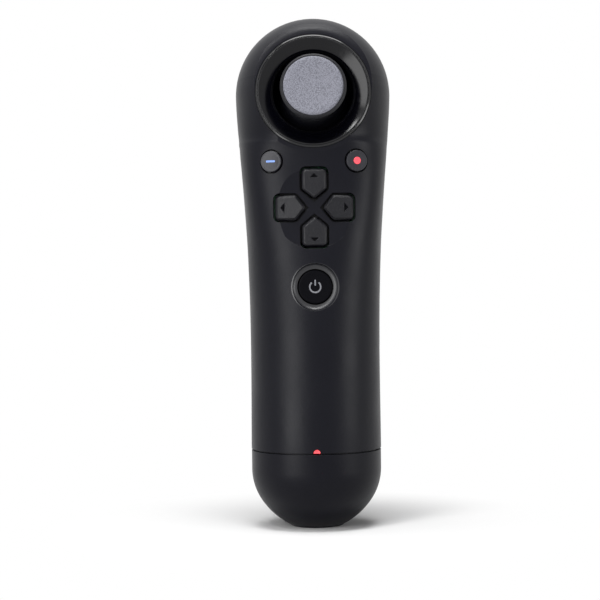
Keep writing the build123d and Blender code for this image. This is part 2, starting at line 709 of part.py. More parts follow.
def home_button():
    """Large flat button in the cove, with its flange and stem."""
    low, high = HOME_FLANGE
    body = drum(HOME_R, low, HOME_TOP)
    body = fillet(body.edges().sort_by(Axis.Z)[-1], 0.3)
    body += drum(HOME_FLANGE_R, low, high) + drum(HOME_STEM_R, HOME_STEM_END, high)
    return along_y(body, 0, HOME_Z)


def home_pad():
    """Rubber dome between the home button and the board."""
    return along_y(dome(2.6, 1.8, 1.2) + tube(4.6, 2.5, -BOARD_Y, -BOARD_Y + PAD_BASE), 0, HOME_Z)


# Rear keys


def bumper():
    """Upper rear key, which follows the head's curve."""
    key = bumper_form(0, *BUMPER_R)
    outer = [edge for edge in key.edges() if (edge.center() - REAR.origin).length > HEAD_R - 0.5]
    rim = [edge for edge in outer if abs((edge @ 0 - REAR.origin).length - BUMPER_R[1]) < 0.01]
    rim = [edge for edge in rim if abs((edge @ 1 - REAR.origin).length - BUMPER_R[1]) < 0.01]
    return fillet(rim, BUMPER_EDGE) + bumper_form(BUMPER_LIP, *BUMPER_FLANGE)


def bumper_pad():
    """Rubber block between the bumper and its seat."""
    body = drum(2.6, 14.6, 15.4) + drum(1.8, 15.4, 17.3)
    return REAR * body


def trigger_profile():
    """Side outline of the trigger: Y to the rear, Z up."""
    back = Spline(*TRIGGER_BACK, tangents=[(0.3, -1), (1, -0.75)])
    low = Polyline(TRIGGER_BACK[-1], (26.9, 100.9), (22.6, 102.0), (17.2, 100.4))
    front = Polyline((17.2, 100.4), (17.2, 116.0), (16.2, 123.2), TRIGGER_BACK[0])
    return Curve() + [back, low, front]


def trigger():
    """Curved lever with side cheeks, a hollow back and a split hub on its pin."""
    half, room = TRIGGER_W / 2, TRIGGER_W / 2 - TRIGGER_WALL
    body = extrude(Plane.YZ * make_face(trigger_profile()), half, both=True)
    body = fillet(body.faces().filter_by(Axis.X).edges().filter_by(GeomType.BSPLINE), TRIGGER_EDGE)
    py, pz = TRIGGER_PIN
    hub = Pos(0, py, pz) * along_x(drum(TRIGGER_HUB_R, -half, half))
    body += hub
    pocket = block((-room, room), (10, 19.4), (103.6, 117.4))
    spring_room = block((-3, 3), (10, 18.0), (116, 122.9))
    bore = Pos(0, py, pz) * along_x(drum(TRIGGER_PIN_R + 0.06, -half - 1, half + 1))
    return body - [pocket, spring_room, bore]


def trigger_pin():
    """Steel pin through the bracket's ears."""
    return Pos(0, *TRIGGER_PIN) * along_x(drum(TRIGGER_PIN_R, -9.5, 9.5))


def trigger_spring():
    """Torsion coil round the pin, between the lever's two hubs."""
    height, wire = 3.6, 0.3
    path = Helix(pitch=0.9, height=height, radius=1.5)
    section = Plane(origin=path @ 0, z_dir=path % 0) * Circle(wire)
    return Pos(-height / 2, *TRIGGER_PIN) * along_x(sweep(section, path=path))


def trigger_pad():
    """Rubber dome between the lever and the bracket."""
    base = BRACKET_Y + BRACKET_T
    body = drum(2.8, base, base + 1.0) + drum(1.9, base, 19.4)
    return sideways_at(body, 0, 108.0)


def trigger_bracket():
    """Plate across the head with ears for the pin and a seat for the bumper's pad."""
    far = BRACKET_Y + BRACKET_T
    body = block((-12.4, 12.4), (BRACKET_Y, far), (103.6, 124.2)) & HEAD_ROOM
    body += block((-12.4, 12.4), (BRACKET_Y, far), (103.0, 110)) & INNER
    for side in (-1, 1):
        ear = block((min(side * 7.9, side * 9.5), max(side * 7.9, side * 9.5)), (BRACKET_Y, 17.4), (116, 124))
        body += ear & HEAD_ROOM
    seat = REAR * block((-6, 6), (-3.4, 3.4), (11.0, 14.6))
    body += seat & block((-12, 12), (9.7, 30), (110, 140))
    body -= Pos(0, *TRIGGER_PIN) * along_x(drum(TRIGGER_PIN_R, -12, 12))
    holes = [sideways_at(drum(0.9, 8, 14), x, z) for x, z in BRACKET_SCREWS]
    return body - holes


def bracket_screws():
    """Two screws that hold the bracket on the rear shell's posts."""
    screw = drum(0.8, BRACKET_Y, 15.0) + drum(1.6, BRACKET_Y - 1.0, BRACKET_Y)
    return Compound(children=[sideways_at(screw, x, z) for x, z in BRACKET_SCREWS])


# Boards, battery and port


def main_board():
    """Long board behind the front keys, with a tail down to the indicator's lamp."""
    rear = BOARD_Y + BOARD_T
    body = block((-BOARD_HALF, BOARD_HALF), (BOARD_Y, rear), (BOARD_LOW, BOARD_TOP))
    body += block((-3, 3), (BOARD_Y, rear), (SEAM_Z + 0.3, BOARD_LOW))
    body -= [along_y(drum(2.7, 5, 12), x, z) for x, z, _ in CASE_SCREWS]
    return body - [along_y(drum(0.75, 5, 12), x, z) for x, z in BOARD_SCREWS]


def board_screws():
    """Three screws that hold the main board on the front shell's posts."""
    rear = -BOARD_Y - BOARD_T
    screw = drum(0.7, rear, 11.8) + drum(1.4, rear - 0.8, rear)
    return Compound(children=[along_y(screw, x, z) for x, z in BOARD_SCREWS])


def chip(x, z, width, height, thick):
    """Flat package on the rear face of the main board."""
    rear = BOARD_Y + BOARD_T
    return block((x - width / 2, x + width / 2), (rear, rear + thick), (z - height / 2, z + height / 2))


def indicator_lamp():
    """Small lamp on the board's tail, behind the window."""
    return block((-0.8, 0.8), (BOARD_Y - 1.0, BOARD_Y), (SEAM_Z + 0.4, SEAM_Z + 1.9))


def port_board():
    """Upright board in the end cap's slot that carries the port."""
    return block((-6.5, 6.5), (PORT_Y, RESET_Y), (3.4, 33.0))


def usb_receptacle():
    """Mini-B socket: folded shell, with the tongue inside."""
    wide, narrow, top, bend, low = 3.85, 2.95, 1.95, -0.35, -1.95
    half = [(wide, top), (wide, bend), (narrow, low)]
    outline = Polyline(*half, *[(-x, y) for x, y in reversed(half)], close=True)
    face = make_face(outline)
    body = extrude(Pos(0, 0, 0.9) * face, 9.0)
    room = extrude(Pos(0, 0, 0.5) * offset(face, -0.4), 8.4)
    tongue = block((-2.5, 2.5), (-0.5, 0.5), (2.2, 9.0))
    return body - room + tongue


def reset_switch():
    """Square push switch behind the rear shell's small hole."""
    low, high = RESET_Z - RESET_HALF, RESET_Z + RESET_HALF
    body = block((-RESET_HALF, RESET_HALF), (RESET_Y, RESET_Y + RESET_T), (low, high))
    well = drum(RESET_HOLE_R + 0.05, RESET_Y + RESET_T / 2, RESET_Y + 2 * RESET_T)
    return body - sideways_at(well, 0, RESET_Z)


def reset_plunger():
    """Plunger of the reset switch."""
    return sideways_at(drum(RESET_HOLE_R, RESET_Y + 1.2, RESET_Y + RESET_T + 1), 0, RESET_Z)


def battery_tray():
    """Open tray between the boards, on four feet against the main board."""
    body = block((-9.6, 9.6), (-5.8, 7.8), (37, 67)) - block((-8.6, 8.6), (-4.8, 9), (38, 66))
    feet = [(x, z) for x in (-8.6, 8.6) for z in (40, 64)]
    for x, z in feet:
        body += block((x - 1, x + 1), (BOARD_Y + BOARD_T, -5.8), (z - 1.5, z + 1.5))
    return body - block((-3, 3), (-2, 9), (60, 70))


def battery_cell():
    """Wrapped cell that fills the tray."""
    body = block((-8.5, 8.5), (-4.8, 7.2), (38.1, 65.9))
    return fillet(body.edges().filter_by(Axis.Z), 2.5)


def battery_lead():
    """Pair of leads from the cell to the plug on the main board."""
    route = [(0.0, 2.0, 65.9), (0.0, 2.0, 70.0), (0.0, -1.5, 74.0), (0.0, -5.0, 76.6), (0.0, -5.6, 80.38)]
    path = FilletPolyline(*route, radius=[2.4, 2.6, 2.4])
    leads = []
    for x in (-0.5, 0.5):
        section = Plane(origin=path @ 0, z_dir=path % 0) * Circle(0.4)
        leads.append(Pos(x, 0, 0) * sweep(section, path=path))
    return Compound(children=leads)


def battery_plug():
    """Plug of the cell's leads, on the main board."""
    rear = BOARD_Y + BOARD_T
    return block((-2.4, 2.4), (rear, rear + 3.4), (80.4, 84.0))


front, rear = casing()
NODES = {
    "front_shell": front,
    "rear_shell": rear,
    "end_cap": end_cap(),
    "stick_bezel": stick_bezel(),
    "indicator_lens": indicator_lens(),
    "case_screws": case_screws(),
    "stick_cap": stick_cap(),
    "stick_grip": stick_grip(),
    "stick_shaft": stick_shaft(),
    "stick_pin": stick_pin(),
    "lower_yoke": lower_yoke(),
    "upper_yoke": upper_yoke(),
    "stick_housing": stick_housing(),
    "sensor_across": sensor(0),
    "sensor_along": sensor(90),
    "click_switch": click_switch(),
    "stick_spring": stick_spring(),
    "stick_board": stick_board(),
    "stick_board_screws": stick_board_screws(),
    "dpad": dpad(),
    "dpad_pivot": dpad_pivot(),
    "dpad_pad": dpad_pad(),
    "left_button": face_button(-1),
    "right_button": face_button(1),
    "left_pad": button_pad(-1),
    "right_pad": button_pad(1),
    "home_button": home_button(),
    "home_pad": home_pad(),
    "bumper": bumper(),
    "bumper_pad": bumper_pad(),
    "trigger": trigger(),
    "trigger_pin": trigger_pin(),
    "trigger_spring": trigger_spring(),
    "trigger_pad": trigger_pad(),
    "trigger_bracket": trigger_bracket(),
    "bracket_screws": bracket_screws(),
    "main_board": main_board(),
    "board_screws": board_screws(),
    "main_chip": chip(3.0, 90.0, 8, 8, 1.0),
    "radio_can": chip(-5.5, 90.0, 7, 10, 1.6),
    "indicator_lamp": indicator_lamp(),
    "port_board": port_board(),
    "usb_receptacle": usb_receptacle(),
    "reset_switch": reset_switch(),
    "reset_plunger": reset_plunger(),
    "battery_tray": battery_tray(),
    "battery_cell": battery_cell(),
    "battery_lead": battery_lead(),
    "battery_plug": battery_plug(),
}

for name, shape in NODES.items():
    export_step(shape, f"parts/{name}.step")
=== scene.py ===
"""Looks of a one-handed wand controller, built round its construction model.

The frame is in metres, with the flat end at the origin, +Z along the wand and the thumb stick
facing -Y. Sizes in the classes below are in millimetres, and each mesh is made upright in a
frame of its own before it is placed.
"""

import json
import logging
from dataclasses import dataclass
from enum import Enum
from math import asin, cos, degrees, inf, pi, radians, sin, sqrt, tan
from typing import Iterable, Sequence, Union

import bmesh
import bpy
from mathutils import Matrix, Vector

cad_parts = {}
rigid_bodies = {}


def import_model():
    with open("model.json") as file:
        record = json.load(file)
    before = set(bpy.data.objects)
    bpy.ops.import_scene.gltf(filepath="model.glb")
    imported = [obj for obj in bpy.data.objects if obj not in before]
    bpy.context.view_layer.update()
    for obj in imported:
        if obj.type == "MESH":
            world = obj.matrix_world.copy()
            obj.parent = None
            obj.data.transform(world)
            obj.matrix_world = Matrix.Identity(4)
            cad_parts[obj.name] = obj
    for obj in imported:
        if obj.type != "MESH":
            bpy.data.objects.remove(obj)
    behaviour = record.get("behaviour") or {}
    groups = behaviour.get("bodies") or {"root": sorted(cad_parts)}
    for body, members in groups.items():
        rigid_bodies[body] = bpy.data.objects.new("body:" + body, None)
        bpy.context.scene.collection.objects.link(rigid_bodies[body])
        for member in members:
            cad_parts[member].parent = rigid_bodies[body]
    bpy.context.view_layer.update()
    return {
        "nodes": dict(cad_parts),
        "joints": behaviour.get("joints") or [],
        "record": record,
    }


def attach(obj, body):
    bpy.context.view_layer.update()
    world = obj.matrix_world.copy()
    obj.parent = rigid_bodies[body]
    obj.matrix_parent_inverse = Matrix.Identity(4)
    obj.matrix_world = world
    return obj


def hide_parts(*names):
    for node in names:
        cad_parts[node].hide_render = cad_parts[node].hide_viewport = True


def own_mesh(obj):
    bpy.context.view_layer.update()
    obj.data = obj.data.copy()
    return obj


for leftover in list(bpy.data.objects):
    bpy.data.objects.remove(leftover)
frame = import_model()

log = logging.getLogger("wand")

MM = 0.001
# In millimetres: corners that become one, edges that go, and the margin when edges are picked
MERGE = 1e-4
SLIVER = 1e-3
NEAR = 0.1
SHARP = radians(35)
FACE_TILT = radians(7)
REAR_KEY_TILT = radians(40)
Point = tuple[float, float]
Triple = tuple[float, float, float]
Colour = tuple[float, float, float, float]
Value = Union["Wire", float, Sequence[float]]
WHITE: Colour = (1.0, 1.0, 1.0, 1.0)


def tone(*levels: int) -> Colour:
    """Linear colour of red, green and blue levels of a screen, from 0 to 255."""
    shares = [level / 255 for level in levels]
    return *(s / 12.92 if s <= 0.04045 else ((s + 0.055) / 1.055) ** 2.4 for s in shares), 1.0


def shaded(colour: Colour, factor: float) -> Colour:
    """A colour made lighter or darker."""
    return colour[0] * factor, colour[1] * factor, colour[2] * factor, 1.0


class Side(Enum):
    """The two sides of the wand, as seen from the stick's side."""

    LEFT = -1
    RIGHT = 1


class Slot(str, Enum):
    """The record's material slots."""

    CASE = "case_black"
    CAP = "cap_black"
    GLOSS = "gloss_black"
    KEY = "key_black"
    STICK = "stick_grey"
    LENS = "lens_red"
    INNER = "inner_plastic"
    PAD = "pad_rubber"
    BOARD = "board_green"
    CHIP = "chip_black"
    SCREW = "screw_steel"
    PIN = "pin_steel"
    PORT = "port_metal"
    CELL = "cell_wrap"
    LEAD = "lead_cover"


# Shader graphs


@dataclass(frozen=True)
class Wire:
    """A socket's value that can be used in arithmetic."""

    graph: "Graph"
    socket: bpy.types.NodeSocket | None

    def maths(self, operation: str, first: Value, second: Value) -> "Wire":
        """Add a Math node on two operands."""
        return self.graph.node("Math", {"operation": operation}, {0: first, 1: second})

    def __add__(self, other: Value) -> "Wire":
        """self + other."""
        return self.maths("ADD", self, other)

    __radd__ = __add__

    def __sub__(self, other: Value) -> "Wire":
        """self - other."""
        return self.maths("SUBTRACT", self, other)

    def __rsub__(self, other: Value) -> "Wire":
        """other - self."""
        return self.maths("SUBTRACT", other, self)

    def __mul__(self, other: Value) -> "Wire":
        """self * other."""
        return self.maths("MULTIPLY", self, other)

    __rmul__ = __mul__

    def __or__(self, other: Value) -> "Wire":
        """self | other, the larger of two masks."""
        return self.maths("MAXIMUM", self, other)

    def ramp(self, low: float, high: float) -> "Wire":
        """A smooth rise from 0, where the value is low or less, to 1, where it is high or more."""
        sockets = {"Value": self, "From Min": low, "From Max": high}
        return self.graph.node("MapRange", {"interpolation_type": "SMOOTHSTEP"}, sockets)


class Graph:
    """A node tree under construction."""

    def __init__(self, tree: bpy.types.NodeTree) -> None:
        """Start from an empty tree."""
        self.tree = tree
        tree.nodes.clear()

    def node(self, kind: str, settings: dict | None = None, sockets: dict | None = None,
             output: int | str = 0) -> Wire:
        """Add one node.

        Args:
            kind: the node's type, without the ShaderNode that each starts with.
            settings: its own properties, set first.
            sockets: values or wires of its inputs, by name or number.
            output: which output is returned.

        Returns:
            The chosen output, or a wire round nothing on a node without outputs.
        """
        made = self.tree.nodes.new(f"ShaderNode{kind}")
        for name, value in (settings or {}).items():
            setattr(made, name, value)
        for key, value in (sockets or {}).items():
            if isinstance(value, Wire):
                self.tree.links.new(value.socket, made.inputs[key])
            else:
                made.inputs[key].default_value = value
        return Wire(self, made.outputs[output] if len(made.outputs) else None)

    def place(self) -> Wire:
        """Position on the object, in metres."""
        return self.node("TexCoord", output="Object")

    def away(self, centre: Sequence[float]) -> Wire:
        """Distance from a point given in millimetres, in metres."""
        sockets = {0: self.place(), 1: [part * MM for part in centre]}
        return self.node("VectorMath", {"operation": "DISTANCE"}, sockets, output="Value")

    def noise(self, size: float, detail: float = 2.0, place: Wire | None = None) -> Wire:
        """Soft noise from 0 to 1, with features of a size given in millimetres."""
        sockets = {"Vector": place or self.place(), "Scale": 1 / (size * MM), "Detail": detail}
        return self.node("TexNoise", {}, sockets)

    def blend(self, share: Value, first: Value, second: Value) -> Wire:
        """Colour between two others, where a share of 0 gives the first and 1 the second."""
        sockets = {0: share, 6: first, 7: second}
        return self.node("Mix", {"data_type": "RGBA"}, sockets, output=2)

    def relief(self, height: Wire, depth: float, rounding: float) -> Wire:
        """Normal of a surface with a fine relief and eased edges.

        Args:
            height: the relief, from 0 to 1.
            depth: its depth in millimetres.
            rounding: radius that edges seem to have, in millimetres.

        Returns:
            The normal.
        """
        eased = self.node("Bevel", {"samples": 4}, {"Radius": rounding * MM})
        sockets = {"Height": height, "Distance": depth * MM, "Strength": 1.0, "Normal": eased}
        return self.node("Bump", {}, sockets)


# Finishes


@dataclass(frozen=True)
class Finish:
    """A surface with a fine relief. Each kind of finish has its own pattern of it."""

    name: str
    colour: Colour
    roughness: float
    rounding: float = 0.12
    grain: float = 0.3
    depth: float = 0.01
    specular: float = 0.5
    metallic: float = 0.0

    def material(self) -> bpy.types.Material:
        """The finish as a material, made once."""
        found = bpy.data.materials.get(self.name)
        if found:
            return found
        made = bpy.data.materials.new(self.name)
        made.use_nodes = True
        graph = Graph(made.node_tree)
        sockets = {
            "Base Color": self.colour,
            "Roughness": self.roughness,
            "Metallic": self.metallic,
            "Specular IOR Level": self.specular,
        }
        sockets.update(self.pattern(graph))
        sockets["Normal"] = graph.relief(sockets.pop("Height"), self.depth, self.rounding)
        shader = graph.node("BsdfPrincipled", {}, sockets)
        graph.node("OutputMaterial", {}, {"Surface": shader})
        return made

    def pattern(self, graph: Graph) -> dict[str, Value]:
        """What varies over the surface, by the shader's socket, and its relief as Height."""
        return {"Height": graph.noise(self.grain)}


@dataclass(frozen=True)
class MouldedPlastic(Finish):
    """Matt plastic from a spark-eroded mould, a little smoother where hands rub it."""

    polish: float = 0.05
    patch: float = 14.0
    pitting: float = 0.04
    mottle: float = 0.6
    lighter: float = 1.25
    pits: Point = (0.3, 0.7)
    worn: Point = (0.35, 0.75)

    def pattern(self, graph: Graph) -> dict[str, Value]:
        """Pitted grain, with broad patches of polish and a faint mottle."""
        pits = graph.noise(self.grain, detail=3.0).ramp(*self.pits)
        worn = graph.noise(self.patch, detail=1.0).ramp(*self.worn)
        rough = self.roughness + pits * self.pitting - worn * self.polish
        colour = graph.blend(pits * self.mottle, self.colour, shaded(self.colour, self.lighter))
        return {"Base Color": colour, "Roughness": rough, "Height": pits}


@dataclass(frozen=True)
class CasingPlastic(MouldedPlastic):
    """The case's plastic, polished in the round bowl of the home button."""

    bowl: Triple = (0.0, -16.2, 64.8)
    bowl_radius: float = 6.4
    bowl_coat: float = 1.0
    bowl_haze: float = 0.4
    fade: float = 0.1

    def pattern(self, graph: Graph) -> dict[str, Value]:
        """Moulded grain everywhere but in the bowl."""
        inner, outer = (self.bowl_radius - self.fade) * MM, self.bowl_radius * MM
        outside = graph.away(self.bowl).ramp(inner, outer)
        polished = {"Coat Weight": (1 - outside) * self.bowl_coat, "Coat Roughness": self.bowl_haze}
        return {**super().pattern(graph), **polished}


@dataclass(frozen=True)
class PolishedPlastic(Finish):
    """Mirror-smooth black plastic with the faintest rubbing marks and a lacquered lip."""

    lip: Triple = (0.0, -14.2, 116.7)
    lip_radius: float = 14.35
    lip_coat: float = 0.4
    lip_haze: float = 0.15
    fade: float = 0.1
    wave: float = 9.0
    haze: float = 0.8
    hazy: Point = (0.45, 0.8)
    dull: float = 0.05

    def pattern(self, graph: Graph) -> dict[str, Value]:
        """Long soft waves and hair-fine haze."""
        haze = graph.noise(self.haze, detail=4.0).ramp(*self.hazy)
        inner, outer = self.lip_radius * MM, (self.lip_radius + self.fade) * MM
        return {
            "Roughness": self.roughness + haze * self.dull,
            "Coat Weight": graph.away(self.lip).ramp(inner, outer) * self.lip_coat,
            "Coat Roughness": self.lip_haze,
            "Height": graph.noise(self.wave, detail=1.0),
        }


@dataclass(frozen=True)
class GrainedRubber(Finish):
    """Soft rubber with a leather grain, its valleys darkened with painted shade."""

    # Painted shade: the valleys between pebbles take this darker colour in place of their shadow
    valley_shade: Colour = (0.12, 0.122, 0.146, 1.0)
    drift: float = 2.2
    softness: float = 0.6
    flank: Point = (0.15, 0.75)
    # Where the painted shade of the valleys gives way to the pebbles' own colour
    shade_spread: Point = (0.0, 0.55)
    worn: float = 0.08

    def pattern(self, graph: Graph) -> dict[str, Value]:
        """Rounded pebbles of uneven size, with painted shade darkening the valleys between them."""
        drift = graph.noise(self.grain * self.drift)
        drift = graph.node("CombineXYZ", {}, {0: drift, 1: drift, 2: drift})
        sockets = {0: drift, 1: (self.grain * MM,) * 3, 2: graph.place()}
        place = graph.node("VectorMath", {"operation": "MULTIPLY_ADD"}, sockets)
        sockets = {"Vector": place, "Scale": 1 / (self.grain * MM), "Smoothness": self.softness}
        cells = graph.node("TexVoronoi", {"feature": "SMOOTH_F1"}, sockets)
        pebble = 1 - cells.ramp(*self.flank)
        return {
            # Painted shade: a darker colour in the valleys, where shadow falls between pebbles
            "Base Color": graph.blend(pebble.ramp(*self.shade_spread), self.valley_shade, self.colour),
            "Roughness": self.roughness - pebble * self.worn,
            "Height": pebble,
        }


@dataclass(frozen=True)
class Metal(Finish):
    """Plated or ground metal, with fine marks along one axis."""

    drawn: Triple = (1.0, 1.0, 0.06)
    cloud: float = 3.0
    clouding: float = 0.6
    darker: float = 0.8
    streak: float = 0.12

    def pattern(self, graph: Graph) -> dict[str, Value]:
        """Streaks in the roughness and the relief, and a cloudy plating."""
        place = graph.node("Mapping", {}, {"Vector": graph.place(), "Scale": self.drawn})
        streaks = graph.noise(self.grain, detail=3.0, place=place)
        cloud = graph.noise(self.cloud) * self.clouding
        return {
            "Base Color": graph.blend(cloud, self.colour, shaded(self.colour, self.darker)),
            "Roughness": self.roughness + streaks * self.streak,
            "Height": streaks,
        }


@dataclass(frozen=True)
class SolderResist(Finish):
    """A circuit board: lacquer over copper tracks, with tinned pads."""

    track: Colour = (0.03, 0.24, 0.09, 1.0)
    pad: Colour = (0.55, 0.55, 0.52, 1.0)
    tracks_per_metre: float = 420.0
    track_edge: Point = (0.33, 0.37)
    bare_size: float = 4.0
    bare_edge: Point = (0.48, 0.52)
    pads_per_metre: float = 380.0
    pad_edge: Point = (0.13, 0.15)
    tinned: float = 0.9
    dull: float = 0.1

    def pattern(self, graph: Graph) -> dict[str, Value]:
        """Square-cornered tracks and a sprinkle of pads."""
        sockets = {"Vector": graph.place(), "Scale": self.tracks_per_metre, "Randomness": 0.0}
        tracks = graph.node("TexVoronoi", {"distance": "CHEBYCHEV"}, sockets).ramp(*self.track_edge)
        tracks = tracks * graph.noise(self.bare_size, detail=0.0).ramp(*self.bare_edge)
        sockets = {"Vector": graph.place(), "Scale": self.pads_per_metre}
        pads = 1 - graph.node("TexVoronoi", {}, sockets).ramp(*self.pad_edge)
        lacquer = graph.blend(tracks, self.colour, self.track)
        return {
            "Base Color": graph.blend(pads, lacquer, self.pad),
            "Metallic": pads * self.tinned,
            "Roughness": self.roughness + pads * self.dull,
            "Height": tracks + pads,
        }


@dataclass(frozen=True)
class Lens(Finish):
    """A lit window of clear tinted plastic."""

    glow: float = 0.45
    bright: Colour = tone(255, 120, 125)
    spot: float = 0.9
    spotting: float = 0.5

    def pattern(self, graph: Graph) -> dict[str, Value]:
        """Brighter in the middle of its light, with a smooth surface."""
        spots = graph.noise(self.spot, detail=1.0)
        lit = graph.blend(spots * self.spotting, self.colour, self.bright)
        lights = {"Base Color": lit, "Emission Color": lit, "Emission Strength": self.glow}
        return {**lights, "Height": spots}


# In each: name, colour, roughness, rounding of edges, size and depth of the grain, specular level
FINISHES: dict[Slot, Finish] = {
    Slot.CASE: CasingPlastic("case_plastic", (0.0014, 0.0015, 0.004, 1.0), 0.38, 0.15, 0.35, 0.006, 0.16),
    Slot.CAP: MouldedPlastic("cap_plastic", (0.0012, 0.0012, 0.0036, 1.0), 0.38, 0.15, 0.35, 0.006, 0.15),
    Slot.GLOSS: PolishedPlastic("gloss_plastic", (0.0008, 0.0008, 0.0018, 1.0), 0.13, 0.12, 0.8, 0.002,
                                0.27),
    Slot.KEY: MouldedPlastic("key_plastic", (0.0022, 0.0022, 0.0042, 1.0), 0.34, 0.15, 0.28, 0.03, 0.3),
    Slot.STICK: GrainedRubber("stick_rubber", (0.19, 0.193, 0.228, 1.0), 0.6, 0.2, 0.3, 0.04, 0.3),
    Slot.LENS: Lens("red_lens", (0.6, 0.02, 0.035, 1.0), 0.2, 0.1, 0.5, 0.001),
    Slot.INNER: MouldedPlastic("inner_nylon", (0.03, 0.03, 0.033, 1.0), 0.5, 0.1, 0.4, 0.01),
    Slot.PAD: MouldedPlastic("silicone", (0.16, 0.16, 0.17, 1.0), 0.6, 0.15, 0.5, 0.01, 0.3),
    Slot.BOARD: SolderResist("board_lacquer", (0.012, 0.11, 0.045, 1.0), 0.35, 0.05, 0.5, 0.02),
    Slot.CHIP: MouldedPlastic("package_resin", (0.012, 0.012, 0.012, 1.0), 0.55, 0.08, 0.2, 0.006),
    Slot.SCREW: Metal("zinc_plate", (0.52, 0.52, 0.54, 1.0), 0.32, 0.08, 0.2, 0.004, metallic=1.0),
    Slot.PIN: Metal("ground_steel", (0.6, 0.6, 0.62, 1.0), 0.22, 0.06, 0.15, 0.003, metallic=1.0),
    Slot.PORT: Metal("tin_plate", (0.62, 0.61, 0.58, 1.0), 0.28, 0.1, 0.3, 0.004, metallic=1.0),
    Slot.CELL: MouldedPlastic("cell_film", (0.03, 0.05, 0.11, 1.0), 0.3, 0.3, 2.5, 0.06, 0.5),
    Slot.LEAD: MouldedPlastic("lead_insulation", (0.35, 0.015, 0.015, 1.0), 0.4, 0.1, 0.4, 0.01),
}
BUTTON_PLASTIC = MouldedPlastic("button_plastic", (0.013, 0.013, 0.017, 1.0), 0.38, 0.15, 0.28, 0.008, 0.34)
# A near-black sheet in each arrow's hollow: painted shade standing in for the engraving's shadow
ARROW_PAINTED_SHADE = MouldedPlastic("arrow_paint", (0.0015, 0.0015, 0.002, 1.0), 0.5, 0.03, 0.15, 0.002, 0.04)
HOME_PLASTIC = MouldedPlastic("home_plastic", (0.0016, 0.0016, 0.0026, 1.0), 0.4, 0.15, 0.28, 0.006, 0.05)
RED_PAINT = MouldedPlastic("red_paint", tone(250, 88, 100), 0.5, 0.03, 0.15, 0.004, 0.3)
BLUE_PAINT = MouldedPlastic("blue_paint", tone(120, 150, 215), 0.5, 0.03, 0.15, 0.004, 0.3)
SILVER_PAINT = MouldedPlastic("silver_paint", tone(112, 113, 118), 0.4, 0.03, 0.15, 0.004, 0.4,
                              metallic=0.2)


# Mesh building


def arc(centre: Point, radius: float, start: float, end: float, spans: int) -> list[Point]:
    """Points of an arc in some spans, from one angle in degrees to another."""
    turns = [radians(start + (end - start) * step / spans) for step in range(spans + 1)]
    return [(centre[0] + radius * cos(turn), centre[1] + radius * sin(turn)) for turn in turns]


def dished(radius: float, depth: float, top: float) -> list[Point]:
    """Radius and height of a shallow round dish, from its middle to its rim."""
    curve = (radius**2 + depth**2) / (2 * depth)
    turn = degrees(asin(radius / curve))
    return arc((0, top - depth + curve), curve, -90, -90 + turn, spans=10)


def flanged(stem: Point, flange: Triple, radius: float) -> list[Point]:
    """The underside of a round key, from its middle out.

    Args:
        stem: radius of its stem, and height of the stem's end.
        flange: radius of its flange, and the heights of the flange's faces.
        radius: radius of the key above its flange.

    Returns:
        Radius and height of its corners.
    """
    thin, foot = stem
    wide, low, high = flange
    return [(0, foot), (thin, foot), (thin, low), (wide, low), (wide, high), (radius, high)]


def box_corners(x: float, y: float) -> list[Point]:
    """Corners of a rectangle about the origin, given half its width and height."""
    return [(-x, -y), (x, -y), (x, y), (-x, y)]


def facing(origin: Sequence[float], out: Sequence[float]) -> Matrix:
    """Placing of a mesh made in millimetres with its Z pointing out of the surface.

    Args:
        origin: its origin in millimetres, in the frame.
        out: the direction of its Z in the frame.

    Returns:
        The matrix that brings it into the frame, in metres.
    """
    z_axis = Vector(out).normalized()
    x_axis = (Vector((1, 0, 0)) - z_axis * z_axis.x).normalized()
    turn = Matrix((x_axis, z_axis.cross(x_axis), z_axis)).transposed().to_4x4()
    return Matrix.Translation(Vector(origin) * MM) @ turn @ Matrix.Scale(MM, 4)


def placed(name: str, data: bpy.types.ID) -> bpy.types.Object:
    """A new object in the scene, round a mesh, a light or a camera."""
    made = bpy.data.objects.new(name, data)
    bpy.context.scene.collection.objects.link(made)
    return made


def joint(name: str) -> dict:
    """A joint of the frame by name."""
    return next(found for found in frame["joints"] if found["name"] == name)


